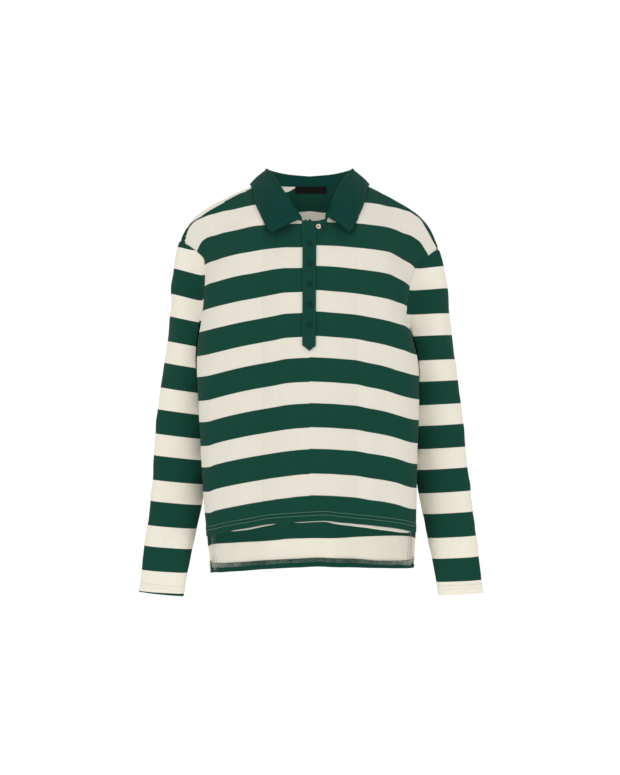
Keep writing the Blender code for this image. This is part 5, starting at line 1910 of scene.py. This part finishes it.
@dataclass
class Placket:
    """The two strips that close the neck opening, the outer one pointed at its foot."""

    front: BodyPanel
    wall: float = 0.0012
    gap: float = 0.0003
    tip_x: float = 0.0008
    tip_length: float = 0.0085
    inset: float = 0.0022
    box_rows: tuple[float, ...] = (-0.2430, -0.2490)

    def strip(self, rows: Table, out: float, columns: int) -> Grid:
        """A strip laid on the front, between the strip's edges, moved out.

        Args:
            rows: The strip's edges by height.
            out: How far it stands over the front.
            columns: Points across it.

        Returns:
            Its grid of points.
        """
        middle = self.front.points.shape[1] // 2
        heights = self.front.points[:, middle, 2]
        head, foot = rows.column("z")[0], rows.column("z")[-1]
        levels = np.linspace(head, foot, 96)
        grid = []
        for z in levels:
            left, right = float(rows.read("z", "x_left", z)), float(rows.read("z", "x_right", z))
            x = np.linspace(left, right, columns)
            spot = float(np.interp(-z, -heights, np.arange(len(heights))))
            low = int(min(spot, len(heights) - 2))
            near = self.on_row(self.front.points[low], x)
            grid.append(near + (self.on_row(self.front.points[low + 1], x) - near) * (spot - low))
        grid = np.array(grid)
        normals = grid_normals(grid)
        normals *= np.where(normals[..., 1:2] > 0, -1, 1)
        return grid + normals * out

    @staticmethod
    def on_row(row: Grid, x: Grid) -> Grid:
        """Points at these x on a row of the front."""
        return np.stack([x] + [np.interp(x, row[:, 0], row[:, k]) for k in (1, 2)], axis=-1)

    def pointed(self, grid: Grid) -> Grid:
        """Draws the foot of a strip out to its point."""
        columns = grid.shape[1]
        share = np.clip(1 - np.abs(np.linspace(-1, 1, columns) - self.tip_x / 0.011), 0.02, 1)
        rows = [grid]
        for part in (0.2, 0.4, 0.6, 0.8, 1.0):
            row = grid[-1].copy()
            row[:, 2] -= self.tip_length * share * part
            rows.append(row[None])
        return np.concatenate(rows)

    def cloth(self, grid: Grid) -> ClothGrid:
        """A strip as a cloth with pressed edges."""
        normals = grid_normals(grid)
        normals *= np.where(normals[..., 1:2] > 0, -1, 1)
        over = run_lengths(grid, 1)
        side = np.minimum(over, over[:, -1:] - over)
        height = -0.0004 * bell(side, 0.0010) - 0.00030 * bell(side - self.inset, 0.0009)
        outer = grid + normals * height[..., None]
        way = np.stack([over, run_lengths(grid, 0)], axis=-1)
        return ClothGrid(outer, grid - normals * self.wall, np.zeros(grid.shape[:2]), way)

    def stitch_paths(self, grid: Grid) -> list[Grid]:
        """Edge stitching down both sides, round the point and across the box above it."""
        over = run_lengths(grid, 1)
        lifted = grid + np.array([0, -0.0002, 0])

        def inside(i: int, from_left: float) -> Grid:
            """The point of a row at this distance from its left edge."""
            return np.array([np.interp(from_left, over[i], lifted[i, :, k]) for k in range(3)])

        rows = range(1, len(grid) - 5)
        left = [inside(i, self.inset) for i in rows]
        right = [inside(i, over[i, -1] - self.inset) for i in rows]
        tip = lifted[-1, len(lifted[-1]) // 2] + np.array([0, 0, self.inset * 1.5])
        point = [left[-1], tip, right[-1]]
        point = [point[0] + (point[1] - point[0]) * u for u in np.linspace(0, 1, 6)] + [
            point[1] + (point[2] - point[1]) * u for u in np.linspace(0, 1, 6)
        ]
        paths = [np.array(left), np.array(right), np.array(point)]
        for z in self.box_rows:
            i = int(np.argmin(np.abs(grid[:, 0, 2] - z)))
            across = np.linspace(self.inset, over[i, -1] - self.inset, 10)
            paths.append(np.array([inside(i, x) for x in across]))
        return paths


# ------------------------------------------------------------------ buttons and label


@dataclass(frozen=True)
class Button:
    """A two-hole shirt button, sewn on through its holes.

    Attributes:
        x: Place across the placket.
        z: Height.
        upright: Whether its holes stand one above the other.
    """

    name: str
    node: str
    x: float
    z: float
    upright: bool
    diameter: float = 0.0088
    height: float = 0.0022
    hole: float = 0.0008
    hole_spacing: float = 0.0026
    lift: float = 0.0004

    def seat(self, tree: BVHTree) -> tuple[Vector, Vector]:
        """Where the button's back lies, and the way it faces."""

        def hit(dx: float, dz: float) -> Vector:
            """The strip's surface beside the button's middle."""
            spot, _, _, _ = tree.ray_cast(Vector((self.x + dx, -1.0, self.z + dz)), Vector((0, 1, 0)))
            return spot

        right, left, high, low = hit(0.003, 0), hit(-0.003, 0), hit(0, 0.004), hit(0, -0.004)
        normal = (right - left).cross(high - low).normalized()
        if normal.y > 0:
            normal.negate()
        return hit(0, 0) + normal * self.lift, normal

    def body(self) -> bmesh.types.BMesh:
        """The button about its own axis, with a raised rim, a dish and two holes."""
        radius = self.diameter / 2
        profile = [
            (0.0, self.height - 0.0005),
            (radius - 0.0018, self.height - 0.0005),
            (radius - 0.0011, self.height - 0.0001),
            (radius - 0.0007, self.height),
            (radius - 0.0003, self.height - 0.0002),
            (radius, self.height - 0.0007),
            (radius, 0.0008),
            (radius - 0.0006, 0.0001),
            (radius - 0.0012, 0.0),
            (0.0, 0.0),
        ]
        shape = bmesh.new()
        chain = [shape.verts.new((r, 0.0, h)) for r, h in profile]
        line = [shape.edges.new(pair) for pair in zip(chain, chain[1:])]
        bmesh.ops.spin(
            shape, geom=chain + line, cent=(0, 0, 0), axis=(0, 0, 1), angle=2 * math.pi, steps=36,
            use_merge=True,
        )
        bmesh.ops.remove_doubles(shape, verts=shape.verts, dist=1e-6)
        bmesh.ops.recalc_face_normals(shape, faces=shape.faces)
        return shape

    def make(self, tree: BVHTree, finish: bpy.types.Material, thread: bpy.types.Material, slot: str) -> None:
        """Builds the button and its sewing, and puts both in place."""
        spot, normal = self.seat(tree)
        turn = normal.to_track_quat("Z", "Y").to_matrix().to_4x4()
        turn.translation = spot
        mesh = bpy.data.meshes.new(self.name)
        shape = self.body()
        shape.to_mesh(mesh)
        shape.free()
        piece = bpy.data.objects.new(self.name, mesh)
        bpy.context.scene.collection.objects.link(piece)
        drill = self.drill()
        cut = piece.modifiers.new("holes", "BOOLEAN")
        cut.object, cut.operation, cut.solver = drill, "DIFFERENCE", "EXACT"
        graph = bpy.context.evaluated_depsgraph_get()
        holed = bpy.data.meshes.new_from_object(piece.evaluated_get(graph), depsgraph=graph)
        piece.modifiers.clear()
        piece.data = holed
        bpy.data.objects.remove(drill)
        holed.transform(turn)
        smooth_by_angle(holed, 0.6)
        dress(piece, finish, slot, self.node)
        sewn = self.sewing(turn)
        dress(sewn, thread, slot)

    def hole_places(self) -> list[tuple[float, float]]:
        """Middles of the two holes on the button's face."""
        half = self.hole_spacing / 2
        return [(0, half), (0, -half)] if self.upright else [(half, 0), (-half, 0)]

    def drill(self) -> bpy.types.Object:
        """Two pins in the places of the holes."""
        shape = bmesh.new()
        for x, y in self.hole_places():
            made = bmesh.ops.create_cone(
                shape, cap_ends=True, segments=16, radius1=self.hole, radius2=self.hole, depth=0.01
            )
            bmesh.ops.translate(shape, verts=made["verts"], vec=(x, y, 0.001))
        mesh = bpy.data.meshes.new("drill")
        shape.to_mesh(mesh)
        shape.free()
        drill = bpy.data.objects.new("drill", mesh)
        bpy.context.scene.collection.objects.link(drill)
        return drill

    def sewing(self, turn) -> bpy.types.Object:
        """Thread that comes up one hole and goes down the other, as a sunk bar."""
        half = self.hole_spacing / 2
        top = self.height - 0.0004
        shape = bmesh.new()
        for offset in (-0.0003, 0.0003):
            path = [(-half, 0.0), (-half, top - 0.0003), (-half * 0.5, top + 0.0002), (0, top + 0.0003)]
            path += [(half * 0.5, top + 0.0002), (half, top - 0.0003), (half, 0.0)]
            rings = []
            for s, h in path:
                ring = []
                for k in range(6):
                    a = 2 * math.pi * k / 6
                    along, side, rise = s, offset + 0.00028 * math.cos(a), h + 0.00028 * math.sin(a)
                    if abs(s) == half and h < top:
                        along, rise = s + 0.00028 * math.sin(a), h
                    place = (side, along, rise) if self.upright else (along, side, rise)
                    ring.append(shape.verts.new(place))
                rings.append(ring)
            for one, two in zip(rings, rings[1:]):
                for k in range(6):
                    shape.faces.new((one[k], one[(k + 1) % 6], two[(k + 1) % 6], two[k]))
            shape.faces.new(rings[0])
            shape.faces.new(rings[-1][::-1])
        bmesh.ops.recalc_face_normals(shape, faces=shape.faces)
        mesh = bpy.data.meshes.new(self.name + "_thread")
        shape.to_mesh(mesh)
        shape.free()
        mesh.transform(turn)
        mesh.shade_smooth()
        piece = bpy.data.objects.new(self.name + "_thread", mesh)
        bpy.context.scene.collection.objects.link(piece)
        return piece


def smooth_by_angle(mesh: bpy.types.Mesh, limit: float) -> None:
    """Shades a mesh smooth, with sharp edges where its faces turn by more than the limit."""
    shape = bmesh.new()
    shape.from_mesh(mesh)
    for face in shape.faces:
        face.smooth = True
    for edge in shape.edges:
        edge.smooth = len(edge.link_faces) == 2 and edge.calc_face_angle(0.0) < limit
    shape.to_mesh(mesh)
    shape.free()


@dataclass
class NeckLabel:
    """The blank woven label inside the back, below the collar's seam."""

    back: BodyPanel
    x_range: tuple[float, float] = (-0.0245, 0.0285)
    z_range: tuple[float, float] = (-0.0057, 0.0048)
    tucked: float = 0.0009
    wall: float = 0.0008

    def cloth(self) -> ClothGrid:
        """The label as a thin cloth, a little raised along its sewn edge."""
        inside = surface_tree(self.back.points - self.back.outwards * WALL, -self.back.outwards)
        grid = []
        for z in np.linspace(self.z_range[1], self.z_range[0], 14):
            row = []
            for x in np.linspace(*self.x_range, 40):
                spot, _, _, _ = inside.ray_cast(Vector((x, 0.0, z)), Vector((0, 1, 0)))
                row.append(np.array(spot))
            grid.append(row)
        grid = np.array(grid)
        grid[0, :, 2] += self.tucked
        ways = grid_normals(grid)
        ways *= np.where(ways[..., 1:2] > 0, -1, 1)
        grid = grid + ways * (0.0003 + self.wall)
        over = run_lengths(grid, 1)
        side = np.minimum(over, over[:, -1:] - over)
        grid = grid + ways * (0.0003 * bell(side - 0.0020, 0.0012) - 0.0002 * bell(side, 0.0008))[..., None]
        way = np.stack([over, run_lengths(grid, 0)], axis=-1)
        return ClothGrid(grid, grid - ways * self.wall, np.zeros(grid.shape[:2]), way)


# ------------------------------------------------------------------ turned edges


@dataclass
class Facing:
    """A turned-in edge on the inner side of a panel, with its overlocked raw edge.

    Attributes:
        panel: The panel that it is turned from.
        turn: Heights of its lower edge and of its raw edge over the panel's edge.
    """

    panel: BodyPanel
    turn: Table
    wall: float = 0.0010
    trim: int = 1

    def cloth(self) -> ClothGrid:
        """The turned hem as a thin cloth on the panel's inner side."""
        hem = self.panel.hem_height()
        behind = self.panel.points - self.panel.outwards * (WALL + 0.0001)
        ways = -self.panel.outwards
        columns = range(self.trim, self.panel.points.shape[1] - self.trim)
        grid, slant = [], []
        for share in np.linspace(0, 1, 10):
            row, way = [], []
            for column in columns:
                rise = hem[::-1, column]
                x = behind[-1, column, 0]
                low, high = float(self.turn.read("x", "low", x)), float(self.turn.read("x", "high", x))
                height = high + (low - high) * share
                spot = np.array([np.interp(height, rise, behind[::-1, column, k]) for k in range(3)])
                on = unit(behind[-1, column] - behind[-3, column])
                row.append(spot + on * max(-height, 0))
                way.append([np.interp(height, rise, ways[::-1, column, k]) for k in range(3)])
            grid.append(row)
            slant.append(way)
        grid, slant = np.array(grid), unit(np.array(slant))
        over = run_lengths(grid, 1)
        wave = 0.0003 * np.sin(over / 0.011) + 0.0002 * np.sin(over / 0.0047 + 1)
        face = grid + slant * (self.wall + wave)[..., None]
        way = np.stack([over, run_lengths(grid, 0)], axis=-1)
        return ClothGrid(face, grid, np.zeros(grid.shape[:2]), way)


# ------------------------------------------------------------------ studio


@dataclass(frozen=True)
class Studio:
    """Camera at the photograph's angle, soft lights and an all-round pale sweep."""

    distance: float = 3.5
    middle_z: float = -0.331
    middle_x: float = 0.0005
    lens: float = 98.5
    floor_z: float = -1.9
    sweep_radius: float = 6.0
    sweep_height: float = 6.0
    sweep_round: float = 2.0

    def camera(self) -> None:
        """Places the camera, level, in front of the shirt."""
        data = bpy.data.cameras.new("camera")
        data.lens, data.sensor_width = self.lens, 36.0
        camera = bpy.data.objects.new("camera", data)
        camera.location = (self.middle_x, -self.distance, self.middle_z)
        camera.rotation_euler = (math.pi / 2, 0, 0)
        bpy.context.scene.collection.objects.link(camera)
        bpy.context.scene.camera = camera

    def lights(self) -> None:
        """A large soft key from the upper left, a weak fill and an even surround."""
        for name, place, size, power in (
            ("key", (-2.0, -3.0, 1.9), 1.8, 34.0),
            ("low_front", (0.3, -3.3, -1.2), 1.6, 16.0),
            ("fill", (2.4, -2.8, 0.2), 2.4, 13.0),
            ("rim", (-0.6, 2.6, 2.4), 2.0, 24.0),
        ):
            data = bpy.data.lights.new(name, "AREA")
            data.size, data.energy = size, power
            light = bpy.data.objects.new(name, data)
            light.location = place
            aim = Vector((0, 0, self.middle_z)) - Vector(place)
            light.rotation_euler = aim.to_track_quat("-Z", "Y").to_euler()
            bpy.context.scene.collection.objects.link(light)
        # Thin jersey lets light through to its inner side, which an opaque shell holds back.
        for name, place, aim, size, power in (
            ("glow_hem", (0, -0.055, -0.50), (0, 0.10, -0.60), 0.20, 0.25),
            ("glow_neck", (0, -0.070, -0.075), (0, 0.05, -0.02), 0.05, 0.095),
        ):
            data = bpy.data.lights.new(name, "AREA")
            data.size, data.energy = size, power
            light = bpy.data.objects.new(name, data)
            light.location = place
            light.rotation_euler = (Vector(aim) - Vector(place)).to_track_quat("-Z", "Y").to_euler()
            light.visible_camera = False
            bpy.context.scene.collection.objects.link(light)
        world = bpy.data.worlds.new("surround")
        world.use_nodes = True
        world.node_tree.nodes["Background"].inputs[0].default_value = (1, 1, 1, 1)
        world.node_tree.nodes["Background"].inputs[1].default_value = 1.0
        bpy.context.scene.world = world

    def sweep(self) -> None:
        """A pale floor that curves up into a wall all round."""
        flat = self.sweep_radius - self.sweep_round
        profile = [(0.02, 0.0), (flat * 0.5, 0.0), (flat, 0.0)]
        for k in range(1, 9):
            angle = math.pi / 2 * k / 8
            out = flat + self.sweep_round * math.sin(angle)
            profile.append((out, self.sweep_round * (1 - math.cos(angle))))
        profile.append((self.sweep_radius, self.sweep_height))
        sides = 96
        points = []
        for radius, height in profile:
            for k in range(sides):
                angle = 2 * math.pi * k / sides
                points.append((radius * math.cos(angle), radius * math.sin(angle), self.floor_z + height))
        faces = [list(range(sides))]
        for i in range(len(profile) - 1):
            for k in range(sides):
                n = (k + 1) % sides
                faces.append([i * sides + k, (i + 1) * sides + k, (i + 1) * sides + n, i * sides + n])
        mesh = bpy.data.meshes.new("studio_sweep")
        mesh.from_pydata(points, [], faces)
        mesh.shade_smooth()
        sweep = bpy.data.objects.new("studio_sweep", mesh)
        bpy.context.scene.collection.objects.link(sweep)
        material, shader = new_material("white_paper_sweep")
        shader.inputs["Base Color"].default_value = (0.12, 0.12, 0.12, 1)
        shader.inputs["Roughness"].default_value = 1.0
        shader.inputs["Emission Color"].default_value = (1, 1, 1, 1)
        shader.inputs["Emission Strength"].default_value = 0.9
        mesh.materials.append(material)


# ------------------------------------------------------------------ main


@dataclass
class Materials:
    """Every finish of the shirt, made once."""

    made: dict[str, bpy.types.Material] = field(default_factory=dict)

    def get(self, finish) -> bpy.types.Material:
        """The material of a finish."""
        if finish.name not in self.made:
            self.made[finish.name] = finish.make()
        return self.made[finish.name]


def main() -> None:
    """Builds every piece of the shirt round its solids."""
    logging.basicConfig(level=logging.INFO, format="%(name)s: %(message)s")
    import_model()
    studio = Studio()
    studio.camera()
    materials = Materials()
    # jersey: the cloth painted paler, as painted light on the sleeves and the back.
    jersey = materials.get(LIT_SLEEVE_JERSEY)
    green = materials.get(GREEN_JERSEY)
    rib = materials.get(GREEN_RIB)

    front, back = BodyPanel(True), BodyPanel(False)
    share_seams(front, back)
    front_cloth = front.cloth().build("front_cloth")
    # The front gets the cloth painted darker, as painted shade.
    dress(front_cloth, materials.get(SHADED_BODY_JERSEY), "cream_jersey", "front_body")
    back_cloth = back.cloth().build("back_cloth")
    dress(back_cloth, jersey, "cream_jersey", "back_body")
    hem_row = StitchRow(pitch=0.0032, length=0.0025, thread=0.0008)
    front_hem = sew("front_hem_stitches", front.hem_paths(), hem_row, materials.get(HEM_THREAD), "green_rib")
    back_hem = sew("back_hem_stitches", back.hem_paths(), hem_row, materials.get(HEM_THREAD), "green_rib")

    for side, name in ((-1, "right"), (1, "left")):
        sleeve = Sleeve(side, front, back)
        piece = sleeve.cloth().build(f"{name}_sleeve_cloth")
        dress(piece, jersey, "cream_jersey", f"sleeve_{name}")
        rows = sew(f"{name}_cuff_stitches", sleeve.cuff_paths(), hem_row, materials.get(PALE_THREAD), "cream_jersey")

    placket = Placket(front)
    under_out = placket.gap + placket.wall
    under_grid = placket.strip(UNDER_STRIP, under_out, 16)
    outer_grid = placket.pointed(placket.strip(OUTER_STRIP, 2 * under_out, 16))
    under_piece = placket.cloth(under_grid).build("under_placket_cloth")
    dress(under_piece, green, "green_rib", "placket_under")
    outer_piece = placket.cloth(outer_grid).build("outer_placket_cloth")
    dress(outer_piece, green, "green_rib", "placket_outer")
    fine_row = StitchRow(pitch=0.0026, length=0.0020, thread=0.0006)
    box = sew("placket_stitches", placket.stitch_paths(outer_grid), fine_row, materials.get(GREEN_THREAD), "green_rib")
    facing_way = np.tile((0.0, -1.0, 0.0), (*under_grid.shape[:2], 1))
    under_tree = surface_tree(under_grid, facing_way)
    facing_way = np.tile((0.0, -1.0, 0.0), (*outer_grid.shape[:2], 1))
    outer_tree = surface_tree(outer_grid, facing_way)

    collar = Collar(front, back, [under_tree, outer_tree])
    collar_piece = collar.cloth().build("collar_cloth")
    dress(collar_piece, rib, "green_rib", "collar")
    edge = sew("collar_stitches", [collar.edge_path()], fine_row, materials.get(GREEN_THREAD), "green_rib")

    top = Button("top_button", "button_1", 0.0138, -0.0730, False, 0.0083)
    top.make(under_tree, materials.get(PEARL), materials.get(BROWN_HOLE), "pearl_button")
    for i in range(5):
        middle_z = -0.1005 - i * 0.0327
        button = Button(f"placket_button_{i + 1}", f"button_{i + 2}", 0.0, middle_z, True, 0.0078)
        button.make(outer_tree, materials.get(GREEN_RESIN), materials.get(DARK_THREAD), "green_button")

    label = NeckLabel(back).cloth().build("blank_neck_label")
    dress(label, materials.get(BLACK_SATIN), "black_label", "neck_label")

    back_turned = Facing(back, BACK_TURN).cloth()
    back_facing_piece = back_turned.build("back_hem_facing")
    dress(back_facing_piece, green, "green_rib")
    front_turned = Facing(front, FRONT_TURN).cloth()
    front_facing_piece = front_turned.build("front_hem_facing")
    dress(front_facing_piece, materials.get(CREAM_JERSEY), "cream_jersey")
    overlock = OverlockRow()
    for turned, name in ((back_turned, "back"), (front_turned, "front")):
        path = turned.outer[2] + (turned.outer[2] - turned.inner[2]) * 0.9
        aside = unit(turned.outer[0] - turned.outer[4])
        sew(f"{name}_hem_overlock", [path], overlock, materials.get(OVERLOCK_THREAD), "green_rib", [aside])
    vent_row = sew("vent_stitches", back.vent_paths(0.0076), hem_row, materials.get(HEM_THREAD), "green_rib")
    vent_edges = back.vent_paths(0.0038)
    inwards = [unit(far - near) for near, far in zip(vent_edges, back.vent_paths(0.0048))]
    vent_edge_row = OverlockRow(pitch=0.0017, width=0.0110, thread=0.0009)
    vent_overlock = sew("vent_overlock", vent_edges, vent_edge_row, materials.get(PALE_THREAD), "cream_jersey", inwards)

    studio.lights()
    studio.sweep()
    scene = bpy.context.scene
    scene.view_settings.view_transform = "Standard"


if __name__ == "__main__":
    main()
